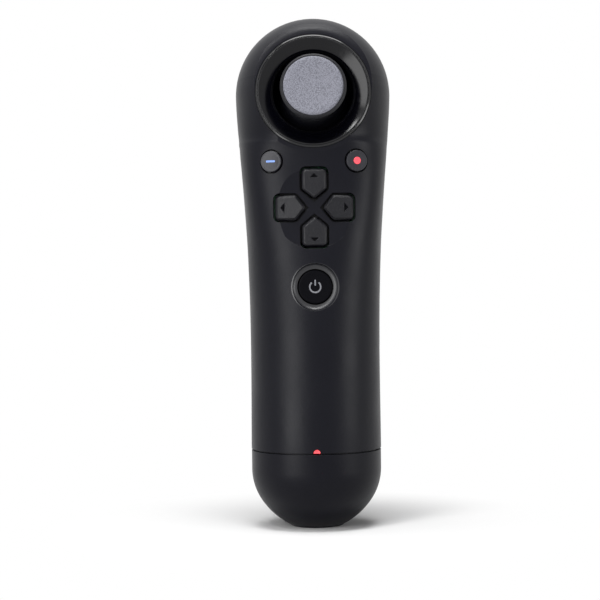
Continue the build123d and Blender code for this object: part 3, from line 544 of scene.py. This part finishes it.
class Form:
    """A mesh under construction, in millimetres."""

    def __init__(self) -> None:
        """Start empty."""
        self.bm = bmesh.new()

    def turned(self, outline: Sequence[Point], steps: int, closed: bool = True) -> "Form":
        """Add a shape turned about Z.

        Args:
            outline: radius and height of its corners, in order.
            steps: faces round it.
            closed: whether the last corner joins the first.

        Returns:
            The form itself.
        """
        corners = [self.bm.verts.new((radius, 0.0, height)) for radius, height in outline]
        pairs = list(zip(corners, corners[1:]))
        if closed:
            pairs.append((corners[-1], corners[0]))
        edges = [self.bm.edges.new(pair) for pair in pairs]
        bmesh.ops.spin(
            self.bm, geom=corners + edges, axis=(0, 0, 1), cent=(0, 0, 0), angle=2 * pi,
            steps=steps, use_merge=True,
        )
        return self.clean()

    def slab(self, outline: Sequence[Point], low: float, high: float,
             rounds: float | Sequence[float] = 0.0, spans: int = 4) -> "Form":
        """Add a flat-topped shape to an empty form.

        Args:
            outline: its corners, going round.
            low: height of its bottom.
            high: height of its top.
            rounds: radius of its upright corners, one for all or one for each.
            spans: faces of each rounding.

        Returns:
            The form itself.
        """
        corners = [self.bm.verts.new((x, y, low)) for x, y in outline]
        self.bm.faces.new(corners)
        radii = [rounds] * len(outline) if isinstance(rounds, float) else rounds
        angles = [corner.link_loops[0].calc_angle() for corner in corners]
        for corner, radius, angle in zip(corners, radii, angles):
            if radius:
                bmesh.ops.bevel(
                    self.bm, geom=[corner], offset=radius / tan(angle / 2), segments=spans,
                    profile=0.5, affect="VERTICES", material=-1,
                )
        made = bmesh.ops.extrude_face_region(self.bm, geom=self.bm.faces[:], use_keep_orig=True)
        top = [item for item in made["geom"] if isinstance(item, bmesh.types.BMVert)]
        bmesh.ops.translate(self.bm, vec=(0, 0, high - low), verts=top)
        return self.clean()

    def clean(self) -> "Form":
        """Merge doubled corners and turn every face outwards."""
        bmesh.ops.remove_doubles(self.bm, verts=self.bm.verts[:], dist=MERGE)
        bmesh.ops.recalc_face_normals(self.bm, faces=self.bm.faces[:])
        return self

    def soften(self, width: float, spans: int, angle: float, above: float = -inf,
               below: float = inf) -> "Form":
        """Round the sharp edges.

        Args:
            width: width of the rounding.
            spans: faces across it.
            angle: the least angle between two faces that counts as sharp, in degrees.
            above: only edges whose middle is higher than this.
            below: only edges whose middle is lower than this.

        Returns:
            The form itself.
        """
        sharp = [
            edge for edge in self.bm.edges
            if len(edge.link_faces) == 2 and edge.calc_face_angle(0.0) > radians(angle)
            and above < (edge.verts[0].co.z + edge.verts[1].co.z) / 2 < below
        ]
        bmesh.ops.bevel(
            self.bm, geom=sharp, offset=width, segments=spans, profile=0.5, affect="EDGES",
            clamp_overlap=True, material=-1,
        )
        return self.clean()

    def moved(self, matrix: Matrix) -> "Form":
        """Transform what is there so far."""
        bmesh.ops.transform(self.bm, matrix=matrix, verts=self.bm.verts[:])
        return self

    def add(self, other: "Form") -> "Form":
        """Take in another form, which is used up."""
        mesh = bpy.data.meshes.new("joined")
        other.bm.to_mesh(mesh)
        other.bm.free()
        self.bm.from_mesh(mesh)
        bpy.data.meshes.remove(mesh)
        return self

    def carve(self, cutter: "Form") -> "Form":
        """Cut another form out of this one.

        Args:
            cutter: a closed form, which is used up.

        Returns:
            The form itself.
        """
        whole, tool = self.loose("carved"), cutter.loose("cutter")
        change = whole.modifiers.new("carve", "BOOLEAN")
        change.operation = "DIFFERENCE"
        change.solver = "EXACT"
        change.object = tool
        bpy.context.view_layer.update()
        ready = whole.evaluated_get(bpy.context.evaluated_depsgraph_get())
        result = bpy.data.meshes.new_from_object(ready)
        self.bm = bmesh.new()
        self.bm.from_mesh(result)
        for used in (whole.data, tool.data, result):
            bpy.data.meshes.remove(used)
        bmesh.ops.dissolve_degenerate(self.bm, dist=SLIVER, edges=self.bm.edges[:])
        return self.clean()

    def loose(self, name: str) -> bpy.types.Object:
        """The form as an object in the scene, after which the form is empty."""
        mesh = bpy.data.meshes.new(name)
        self.bm.to_mesh(mesh)
        self.bm.free()
        return placed(name, mesh)

    def piece(self, name: str, place: Matrix, body: str, slot: Slot, replaces: Iterable[str] = (),
              finish: Finish | None = None) -> bpy.types.Object:
        """Finish the form as a piece of the wand.

        Args:
            name: the piece's name.
            place: brings it into the frame.
            body: the body that it rides on.
            slot: the material slot that it takes its finish from.
            replaces: nodes that it stands for.
            finish: a finish other than the slot's own.

        Returns:
            The piece.
        """
        self.moved(place)
        made = self.loose(name)
        made.data.shade_smooth()
        made.data.set_sharp_from_angle(angle=SHARP)
        made.data.materials.append((finish or FINISHES[slot]).material())
        even = made.modifiers.new("even shading", "WEIGHTED_NORMAL")
        even.keep_sharp = True
        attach(made, body)
        if replaces:
            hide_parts(*replaces)
        log.info("made %s with %d faces on %s", name, len(made.data.polygons), body)
        return made


# Sub-assemblies


@dataclass
class StickFace:
    """The tilted face round the thumb stick: its place in the frame."""

    depth: float = 14.0

    def __post_init__(self) -> None:
        """Read the stick's pivot and axis from the frame."""
        self.out = -Vector(joint("stick_click")["axis"])
        self.pivot = Vector(joint("stick_up_down")["pos_m"]) / MM

    def at_pivot(self) -> Matrix:
        """Placing of what is made from the pivot up."""
        return facing(self.pivot, self.out)

    def at_ring(self) -> Matrix:
        """Placing of what is made from the ring's plane up."""
        return facing(self.pivot + self.out * self.depth, self.out)


@dataclass
class Bezel:
    """The glossy funnel that the stick stands in."""

    rim: float = 15.3
    rim_top: float = 0.28
    rim_inner: float = 14.4
    rim_slope: Point = (0.42, 0.3)
    groove: Triple = (14.7, 0.2, 0.16)
    ledge: float = -2.4
    turn: float = 10.75
    slope: float = 20.0
    throat: Point = (10.2, -8.2)
    lip: Point = (0.5, 0.7)
    back: tuple[Point, ...] = ((11.5, -8.9), (12.05, -3.8), (13.95, -3.0), (13.95, -2.4))
    edge: float = 0.1
    bend: float = 0.8

    def build(self, face: StickFace) -> None:
        """Make the funnel: a grooved rim, a shallow cone and the throat."""
        middle, wide, deep = self.groove
        turn_z = self.rim_top - (self.rim_inner - self.turn) * tan(radians(self.slope))
        across, down = self.rim_slope
        outline = [(self.rim, self.ledge), (self.rim, self.rim_top - down)]
        outline += [(self.rim - across, self.rim_top), (middle + wide / 2, self.rim_top)]
        outline += [(middle + wide / 4, self.rim_top - deep), (middle - wide / 4, self.rim_top - deep)]
        outline += [(middle - wide / 2, self.rim_top), (self.rim_inner, self.rim_top)]
        radius, depth = self.throat
        outline += [(self.turn, turn_z), self.throat, (radius + self.lip[0], depth - self.lip[1])]
        form = Form().turned([*outline, *self.back], steps=192)
        form.soften(self.bend, spans=8, angle=20.0, above=turn_z - NEAR, below=turn_z + NEAR)
        form.soften(self.edge, spans=3, angle=20.0, above=turn_z + self.bend)
        form.piece("bezel", face.at_ring(), "root", Slot.GLOSS, ["stick_bezel"])


@dataclass
class ThumbStick:
    """The stick's cap, the grained disc on it and the skirt below."""

    cap: float = 8.75
    top: float = 19.65
    thick: float = 2.4
    underside: tuple[Point, ...] = ((-1.35, 0.0), (-0.25, 0.9), (0.0, 1.3))
    side: float = 1.0
    shoulder: Point = (0.45, 0.35)
    edge: float = 0.2
    grip: float = 7.9
    grip_gap: float = 0.02
    grip_thick: float = 1.3
    grip_edge: float = 0.3
    grip_ease: float = 0.12
    dish: float = 0.35
    dish_radius: float = 6.6
    neck: float = 3.4
    flare: float = 0.2
    brow: float = 0.5
    shaft: float = 1.6
    shaft_top: float = 17.3
    dome: float = 11.5
    dome_wall: float = 1.0
    dome_rim: float = 4.4

    def build(self, face: StickFace) -> None:
        """Make the cap and its disc."""
        place = face.at_pivot()
        form = Form().turned(self.cap_outline(), steps=128)
        form.soften(self.edge, spans=3, angle=30.0, above=self.top - self.thick - self.brow)
        form.piece("stick_cap_top", place, "stick", Slot.KEY, ["stick_cap"])
        disc = Form().turned(self.grip_outline(), steps=128).soften(self.grip_ease, spans=3, angle=30.0)
        disc.piece("stick_disc", place, "stick", Slot.STICK, ["stick_grip"])

    def cap_outline(self) -> list[Point]:
        """Radius and height of the cap, neck and skirt."""
        inner = self.dome - self.dome_wall
        low = self.top - self.thick
        seat = self.top - self.grip_thick
        rim = degrees(asin(self.dome_rim / self.dome))
        collar = degrees(asin(sqrt(self.dome**2 - self.neck**2) / self.dome))
        outline = arc((0, 0), self.dome, rim, collar, spans=24) + [(self.neck, low - self.flare)]
        outline += [(self.cap + across, low + up) for across, up in self.underside]
        across, down = self.shoulder
        outline += [(self.cap, self.top - self.side), (self.cap - across, self.top - down)]
        pocket = self.grip + self.grip_gap
        outline += [(pocket, self.top - down), (pocket, seat), (0, seat)]
        hole = degrees(asin(sqrt(inner**2 - self.shaft**2) / inner))
        outline += [(0, self.shaft_top), (self.shaft, self.shaft_top)]
        outline += arc((0, 0), inner, hole, degrees(asin(self.dome_rim / inner)), spans=24)
        return outline

    def grip_outline(self) -> list[Point]:
        """Radius and height of the dished disc."""
        low, edge = self.top - self.grip_thick, self.grip_edge
        outline = dished(self.dish_radius, self.dish, self.top)
        outline += [(self.grip - edge, self.top), (self.grip, self.top - edge)]
        return outline + [(self.grip, low), (0, low)]


@dataclass
class DirectionPad:
    """Four direction keys on one rocking disc."""

    disc: float = 9.9
    disc_low: float = 10.8
    disc_high: float = 11.8
    hub: float = 2.6
    hub_top: float = 13.0
    ball: float = 1.55
    point: float = 2.3
    shoulder: float = 4.9
    end: float = 10.3
    half: float = 3.3
    corner: float = 1.15
    shoulder_corner: float = 0.9
    point_corner: float = 0.8
    sink: float = 0.2
    edge: float = 0.6
    ease: float = 0.2
    rim: Point = (1.2, 1.4)
    arrow_at: float = 8.5
    arrow_long: float = 1.25
    arrow_half: float = 1.3
    arrow_deep: float = 0.34
    arrow_taper: float = 0.6
    arrow_corner: float = 0.08
    # Thickness of the near-black sheet of painted shade on the floor of each arrow's hollow
    paint: float = 0.05
    # In each: turn and lean in degrees, and height of the top
    keys: tuple[Triple, ...] = (
        (0.0, 0.0, 16.3), (90.0, 9.0, 15.9), (180.0, 0.0, 16.6), (270.0, 9.0, 15.9),
    )

    def build(self) -> None:
        """Make the disc and its keys as one piece, and a near-black sheet of painted shade in each arrow's
        hollow.
        """
        pivot = Vector(joint("dpad_up_down")["pos_m"]) / MM
        place = facing((0, 0, pivot.z), (0, -1, 0))
        form, arrow_shade_sheets = self.rocker(-pivot.y), Form()
        middle = (self.point + self.end) / 2
        for turn, lean, height in self.keys:
            spin = Matrix.Rotation(radians(turn), 4, "Z")
            slope = tan(radians(lean))
            surface = height - (self.arrow_at - middle) * slope
            cutter = self.arrow(surface, surface + self.arrow_deep)
            form.add(self.key(middle, slope, height).carve(cutter).moved(spin))
            # A near-black sheet on the floor of each arrow's hollow, as painted shade
            arrow_shade_sheets.add(self.arrow(surface, surface - self.arrow_deep + self.paint).moved(spin))
        form.piece("direction_keys", place, "dpad", Slot.KEY, ["dpad"])
        arrow_shade_sheets.piece("key_arrows", place, "dpad", Slot.KEY, finish=ARROW_PAINTED_SHADE)

    def rocker(self, pivot: float) -> Form:
        """The disc under the keys, with the cup for its ball.

        Args:
            pivot: height of the ball's centre.

        Returns:
            The disc.
        """
        start = degrees(asin((self.disc_low - pivot) / self.ball))
        cup = arc((0, pivot), self.ball, start, 90, spans=8)
        outline = [(self.disc, self.disc_low), (self.disc, self.disc_high), (self.hub, self.disc_high)]
        outline += [(self.hub, self.hub_top), (0, self.hub_top), *reversed(cup)]
        return Form().turned(outline, steps=96)

    def key(self, middle: float, slope: float, height: float) -> Form:
        """One key that points up.

        Args:
            middle: how far out the middle of its top is.
            slope: how steeply its top falls outwards.
            height: height of the middle of its top.

        Returns:
            The key.
        """
        outline = [(0, self.point), (self.half, self.shoulder), (self.half, self.end)]
        outline += [(-self.half, self.end), (-self.half, self.shoulder)]
        rounds = [self.point_corner, self.shoulder_corner, self.corner, self.corner, self.shoulder_corner]
        form = Form().slab(outline, self.disc_high - self.sink, height, rounds, spans=6)
        for corner in form.bm.verts:
            if corner.co.z > height - SLIVER:
                corner.co.z -= (corner.co.y - middle) * slope
        form.soften(self.edge, spans=1, angle=50.0, above=height - self.rim[0])
        form.soften(self.ease, spans=5, angle=20.0, above=height - self.rim[1])
        return form

    def arrow(self, surface: float, high: float) -> Form:
        """The hollow of an arrow, which gets wider upwards, or a part of it.

        Args:
            surface: height of the key's top there.
            high: height where the form ends.

        Returns:
            The form.
        """
        back = self.arrow_at - self.arrow_long / 2
        outline = [(-self.arrow_half, back), (self.arrow_half, back), (0, back + self.arrow_long)]
        form = Form().slab(outline, surface - self.arrow_deep, high, self.arrow_corner, spans=2)
        centre = Vector((0, back + self.arrow_long / 3))
        for corner in form.bm.verts:
            share = 1 + (corner.co.z - surface) / self.arrow_deep * (1 - self.arrow_taper)
            corner.co.xy = centre + (corner.co.xy - centre) * share
        return form


@dataclass
class FaceButton:
    """One of the two round buttons beside the direction keys."""

    side: Side
    across: float = 11.3
    out: float = 15.0
    height: float = 98.0
    lean: float = 14.0
    radius: float = 2.8
    top: float = 0.5
    edge: float = 0.5
    rim: float = 0.3
    crown: float = 24.0
    stem: Point = (1.6, -4.25)
    flange: Triple = (3.4, -3.9, -3.2)
    mark: Point = (-0.1, 0.035)
    dot: float = 0.95
    bar: Triple = (1.2, 0.26, 0.12)

    def build(self) -> None:
        """Make the button and the mark printed on it."""
        turn = radians(self.lean)
        sign = self.side.value
        place = facing((sign * self.across, -self.out, self.height), (sign * sin(turn), -cos(turn), 0))
        name = self.side.name.lower()
        outline = flanged(self.stem, self.flange, self.radius) + [(self.radius, self.top)]
        start = 90 - degrees(asin(self.radius / self.crown))
        outline += arc((0, self.top - self.crown), self.crown, start, 90, spans=8)[1:]
        form = Form().turned(outline, steps=96)
        form.soften(self.edge, spans=5, angle=50.0, above=self.top - self.rim)
        body = f"{name}_button"
        form.piece(f"{name}_key", place, body, Slot.KEY, [body], BUTTON_PLASTIC)
        low, high = (self.top + reach for reach in self.mark)
        if self.side is Side.RIGHT:
            dot = Form().turned([(0, low), (self.dot, low), (self.dot, high), (0, high)], steps=64)
            dot.piece("right_mark", place, body, Slot.KEY, finish=RED_PAINT)
        else:
            x, y, corner = self.bar
            bar = Form().slab(box_corners(x, y), low, high, corner, spans=3)
            bar.piece("left_mark", place, body, Slot.KEY, finish=BLUE_PAINT)


@dataclass
class HomeButton:
    """The large round button, with a standby sign on it."""

    height: float = 64.8
    radius: float = 4.45
    top: float = 16.0
    dish: float = 0.12
    rim: float = 0.5
    edge: float = 0.3
    stem: Point = (2.4, 10.25)
    flange: Triple = (5.5, 12.6, 13.4)
    sign_radius: float = 1.45
    sign_line: float = 0.4
    sign_gap: float = 38.0
    sign_sink: float = 0.05
    stroke_span: Point = (0.35, 0.45)
    stroke_corner: float = 0.08

    def build(self) -> None:
        """Make the button and its sign."""
        place = facing((0, 0, self.height), (0, -1, 0))
        outline = flanged(self.stem, self.flange, self.radius) + [(self.radius, self.top)]
        outline += reversed(dished(self.radius - self.rim, self.dish, self.top))
        form = Form().turned(outline, steps=128)
        form.soften(self.edge, spans=4, angle=50.0, above=self.top - self.edge)
        form.piece("home_key", place, "home_button", Slot.KEY, ["home_button"], HOME_PLASTIC)
        floor = self.top - self.dish
        low, high = floor - self.sign_sink, floor + self.sign_sink
        self.ring(low, high).add(self.stroke(low, high)).piece(
            "home_mark", place, "home_button", Slot.KEY, finish=SILVER_PAINT
        )

    def ring(self, low: float, high: float) -> Form:
        """The open ring of the sign."""
        form = Form()
        inner, outer = self.sign_radius - self.sign_line / 2, self.sign_radius + self.sign_line / 2
        corners = [(inner, low), (outer, low), (outer, high), (inner, high)]
        start = Matrix.Rotation(radians(90 + self.sign_gap), 3, "Z")
        verts = [form.bm.verts.new(start @ Vector((r, 0, z))) for r, z in corners]
        face = form.bm.faces.new(verts)
        sweep = radians(360 - 2 * self.sign_gap)
        bmesh.ops.spin(
            form.bm, geom=[face, *face.edges, *verts], axis=(0, 0, 1), cent=(0, 0, 0), angle=sweep,
            steps=48,
        )
        return form.clean()

    def stroke(self, low: float, high: float) -> Form:
        """The upright stroke of the sign."""
        half = self.sign_line / 2
        bottom, top = self.stroke_span[0], self.sign_radius + self.stroke_span[1]
        outline = [(-half, bottom), (half, bottom), (half, top), (-half, top)]
        return Form().slab(outline, low, high, self.stroke_corner, spans=2)


@dataclass
class EndCap:
    """The rounded cap at the wand's foot, open inside, with the port's mouth in its floor."""

    radius: float = 17.65
    seam: float = 20.7
    foot: float = 6.9
    side_radius: float = 15.4
    side_height: float = 15.65
    turn: float = 33.9
    base_radius: float = 20.2
    foot_height: float = 0.3
    foot_edge: Point = (0.3, 0.06)
    edge: float = 0.12
    wall: float = 2.25
    floor: float = 2.9
    collar: Point = (13.9, 15.2)
    collar_top: float = 24.0
    collar_root: float = 1.6
    bead: tuple[Point, ...] = ((15.2, 22.5), (15.75, 22.9), (15.2, 23.3))
    mouth: Triple = (8.3, 4.5, 0.8)

    def build(self) -> None:
        """Make the cap as one shell."""
        outer = self.side(0.0, self.foot_height)
        inner = self.side(self.wall, self.floor)
        bore, collar = self.collar
        root = self.seam - self.collar_root
        across, up = self.foot_edge
        outline = [(self.foot, 0.0), (self.foot + across, up), *outer, (self.radius, self.seam)]
        outline += [(collar, self.seam), *self.bead, (collar, self.collar_top), (bore, self.collar_top)]
        outline += [(bore, root), (collar, root), *reversed(inner), (self.foot, self.floor)]
        form = Form().turned(outline, steps=160, closed=False)
        self.close_floor(form)
        form.soften(self.edge, spans=3, angle=40.0, below=self.seam + NEAR)
        form.piece("end_cap_shell", Matrix.Scale(MM, 4), "root", Slot.CAP, ["end_cap"])

    def side(self, inset: float, low: float) -> list[Point]:
        """The two arcs of the side, from low up to where it stands upright.

        Args:
            inset: how far inside the outer surface.
            low: height of the first point.

        Returns:
            Radius and height of the arcs' points.
        """
        turn = radians(self.turn)
        upper = (self.radius - self.side_radius, self.side_height)
        shift = self.base_radius - self.side_radius
        lower = (upper[0] - shift * cos(turn), upper[1] + shift * sin(turn))
        start = -degrees(asin((lower[1] - low) / (self.base_radius - inset)))
        base = arc(lower, self.base_radius - inset, start, -self.turn, spans=20)
        return base + arc(upper, self.side_radius - inset, -self.turn, 0, spans=20)[1:]

    def close_floor(self, form: Form) -> None:
        """Close the floor inside and out, round the mouth's walls."""
        wide, deep, corner = self.mouth
        mouth = Form().slab(box_corners(wide / 2, deep / 2), 0.0, self.floor, corner, spans=5)
        ends = [face for face in mouth.bm.faces if len(face.verts) > 4]
        bmesh.ops.delete(mouth.bm, geom=ends, context="FACES_ONLY")
        bmesh.ops.reverse_faces(mouth.bm, faces=mouth.bm.faces[:])
        form.add(mouth)
        for height in (0.0, self.floor):
            rims = [
                edge for edge in form.bm.edges
                if edge.is_boundary and all(abs(v.co.z - height) < SLIVER for v in edge.verts)
            ]
            bmesh.ops.bridge_loops(form.bm, edges=rims)
        form.clean()


@dataclass
class Indicator:
    """The small red window at the seam."""

    radius: float = 0.91
    out: float = 17.74
    edge: float = 0.25
    height: float = 21.1
    inner: float = 10.0

    def build(self) -> None:
        """Make the window as a half-round rod with a domed end."""
        outline = arc((0, 0), self.radius, 0, 180, spans=24)
        form = Form().slab(outline, self.inner, self.out)
        form.soften(self.edge, spans=4, angle=50.0, above=self.out - NEAR)
        place = facing((0, 0, self.height), (0, -1, 0))
        form.piece("indicator_window", place, "root", Slot.LENS, ["indicator_lens"])


@dataclass
class CaseScrews:
    """The cross-headed screws at the bottom of their holes in the rear shell."""

    # In each: place across, height, and how far out the head rests
    spots: tuple[Triple, ...] = (
        (11.0, 72.0, 10.8), (-11.0, 72.0, 10.8), (10.4, 30.0, 10.6), (-10.4, 30.0, 10.6),
    )
    shank: float = 1.0
    shank_low: float = -5.5
    taper: float = 0.9
    head: float = 1.9
    head_high: float = 1.4
    crown: tuple[Point, ...] = ((1.0, 0.45), (0.8, 0.12), (0.4, 0.0))
    slot: Point = (1.15, 0.25)
    slot_deep: float = 0.8

    def build(self) -> None:
        """Make the screws as one piece."""
        group = Form()
        for across, height, seat in self.spots:
            group.add(self.screw(seat).moved(facing((across, 0, height), (0, 1, 0))))
        group.piece("case_screw_set", Matrix.Identity(4), "root", Slot.SCREW, ["case_screws"])

    def screw(self, low: float) -> Form:
        """One screw that points down.

        Args:
            low: height of the underside of its head.

        Returns:
            The screw.
        """
        high, tip = low + self.head_high, self.shank_low
        outline = [(0, tip), (self.shank / 2, tip), (self.shank, tip + self.taper)]
        outline += [(self.shank, low), (self.head, low)]
        outline += [(self.head * share, high - drop) for share, drop in self.crown] + [(0, high)]
        made = Form().turned(outline, steps=48)
        for half in (self.slot, self.slot[::-1]):
            made.carve(Form().slab(box_corners(*half), high - self.slot_deep, high + self.slot_deep))
        return made


@dataclass
class PressedPart:
    """A silicone pad or a spring under the part that presses on it."""

    node: str
    joint: str
    push: Triple
    keep: float
    slot: Slot = Slot.PAD

    def build(self) -> None:
        """Make the part from its node's shape, as a piece with a mesh of its own; its seat is found but not
        used.
        """
        form = Form()
        form.bm.from_mesh(frame["nodes"][self.node].data)
        form.moved(Matrix.Scale(1 / MM, 4)).clean()
        push = Vector(self.push).normalized()
        seat = max((corner.co.copy() for corner in form.bm.verts), key=push.dot) * MM
        made = form.piece(f"{self.node}_pressed", Matrix.Scale(MM, 4), "root", self.slot, [self.node])
        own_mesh(made)


# In each: node, joint, the way it is pushed, and the share of its length that is left
PRESSED_PARTS = (
    PressedPart("left_pad", "left_button_press", (0.0, 1.0, 0.0), 0.5),
    PressedPart("right_pad", "right_button_press", (0.0, 1.0, 0.0), 0.5),
    PressedPart("home_pad", "home_press", (0.0, 1.0, 0.0), 0.57),
    PressedPart("bumper_pad", "bumper_press", (0.0, -cos(REAR_KEY_TILT), -sin(REAR_KEY_TILT)), 0.45),
    PressedPart("trigger_pad", "trigger_pull", (0.0, -1.0, 0.0), 0.4),
    PressedPart("stick_spring", "stick_up_down", (0.0, cos(FACE_TILT), -sin(FACE_TILT)), 0.7, Slot.PIN),
)


def dress_nodes() -> None:
    """Give each node that still shows the finish of its material slot."""
    for row in frame["record"]["subparts"]:
        node = frame["nodes"][row["node"]]
        node.data.materials.clear()
        node.data.materials.append(FINISHES[Slot(row["material_slot"])].material())
        log.info("dressed %s as %s", row["node"], row["material_slot"])


@dataclass
class Lamp:
    """One soft light on a stand beside the wand."""

    name: str
    turn: float
    reach: float
    level: float
    aim: float
    width: float
    height: float
    brightness: float

    def build(self) -> None:
        """Make the light and turn it to a point on the wand's axis."""
        data = bpy.data.lights.new(self.name, "AREA")
        data.shape = "RECTANGLE"
        data.size = self.width * MM
        data.size_y = self.height * MM
        data.energy = self.brightness * pi * data.size * data.size_y
        made = placed(self.name, data)
        turn = radians(self.turn)
        place = Vector((self.reach * sin(turn), -self.reach * cos(turn), self.level))
        made.location = place * MM
        made.rotation_euler = (place - Vector((0, 0, self.aim))).to_track_quat("Z", "Y").to_euler()


@dataclass
class Studio:
    """Floor, surroundings, lights and the photograph's camera."""

    eye: Triple = (-4.05, -408.0, 61.4)
    lens: float = 89.4
    roll: float = 0.62
    ambient: float = 0.15
    floor_size: float = 6000.0
    floor_gap: float = 0.05
    floor_grey: float = 0.9
    floor_fade: Point = (22.0, 75.0)
    # In each: name, turn in degrees, distance, height, height aimed at, width, height, brightness
    lamps: tuple[Lamp, ...] = (
        Lamp("left_light", -36.0, 300.0, 150.0, 150.0, 130.0, 290.0, 4.8),
        Lamp("low_left_light", -44.0, 130.0, 26.0, 26.0, 45.0, 48.0, 3.5),
        Lamp("right_light", 60.0, 300.0, 70.0, 70.0, 120.0, 125.0, 4.6),
        Lamp("key_light", -35.0, 225.0, 345.0, 110.0, 70.0, 55.0, 21.0),
        Lamp("front_top_light", 0.0, 120.0, 400.0, 100.0, 150.0, 60.0, 24.0),
        Lamp("top_light", 180.0, 10.0, 430.0, 125.0, 280.0, 180.0, 4.4),
    )

    def build(self) -> None:
        """Make all of it."""
        self.camera()
        self.floor()
        self.world()
        for lamp in self.lamps:
            lamp.build()
        bpy.context.scene.view_settings.view_transform = "Standard"

    def camera(self) -> None:
        """The camera, level and square to the stick's side."""
        data = bpy.data.cameras.new("camera")
        data.lens = self.lens
        data.clip_start = 0.01
        made = placed("camera", data)
        made.location = Vector(self.eye) * MM
        made.rotation_euler = (radians(90), radians(self.roll), 0)
        bpy.context.scene.camera = made

    @staticmethod
    def seen(graph: Graph) -> Wire:
        """1 for rays from the camera, mirrors or glass, and 0 for the rest."""
        names = ("Is Camera Ray", "Is Glossy Ray", "Is Transmission Ray")
        camera, mirror, glass = (graph.node("LightPath", output=name) for name in names)
        return camera | mirror | glass

    def floor(self) -> None:
        """A pale floor that fades into the white surroundings."""
        form = Form()
        bmesh.ops.create_grid(form.bm, x_segments=1, y_segments=1, size=self.floor_size / 2 * MM)
        made = form.moved(Matrix.Translation((0, 0, -self.floor_gap * MM))).loose("floor")
        paint = bpy.data.materials.new("floor_paint")
        paint.use_nodes = True
        graph = Graph(paint.node_tree)
        near, far = self.floor_fade
        away = graph.away((0.0, 0.0, 0.0)).ramp(near * MM, far * MM)
        matt = graph.node("BsdfDiffuse", {}, {"Color": shaded(WHITE, self.floor_grey)})
        white = graph.node("Emission", {}, {"Color": WHITE, "Strength": 1.0})
        share = away * self.seen(graph)
        mixed = graph.node("MixShader", {}, {0: share, 1: matt, 2: white})
        below = graph.node("NewGeometry", output="Backfacing")
        clear = graph.node("BsdfTransparent")
        mixed = graph.node("MixShader", {}, {0: below, 1: mixed, 2: clear})
        graph.node("OutputMaterial", {}, {"Surface": mixed})
        made.data.materials.append(paint)

    def world(self) -> None:
        """White where it is seen, and a plain dim light elsewhere."""
        world = bpy.data.worlds.new("surroundings")
        world.use_nodes = True
        graph = Graph(world.node_tree)
        dim, white = (graph.node("Background", {}, {"Color": WHITE, "Strength": level})
                      for level in (self.ambient, 1.0))
        mixed = graph.node("MixShader", {}, {0: self.seen(graph), 1: dim, 2: white})
        graph.node("OutputWorld", {}, {"Surface": mixed})
        bpy.context.scene.world = world


def main() -> None:
    """Build the pieces in order."""
    logging.basicConfig(level=logging.INFO, format="%(message)s")
    Studio().build()
    dress_nodes()
    face = StickFace()
    Bezel().build(face)
    ThumbStick().build(face)
    DirectionPad().build()
    for side in Side:
        FaceButton(side).build()
    HomeButton().build()
    EndCap().build()
    CaseScrews().build()
    Indicator().build()
    for part in PRESSED_PARTS:
        part.build()


if __name__ == "__main__":
    main()
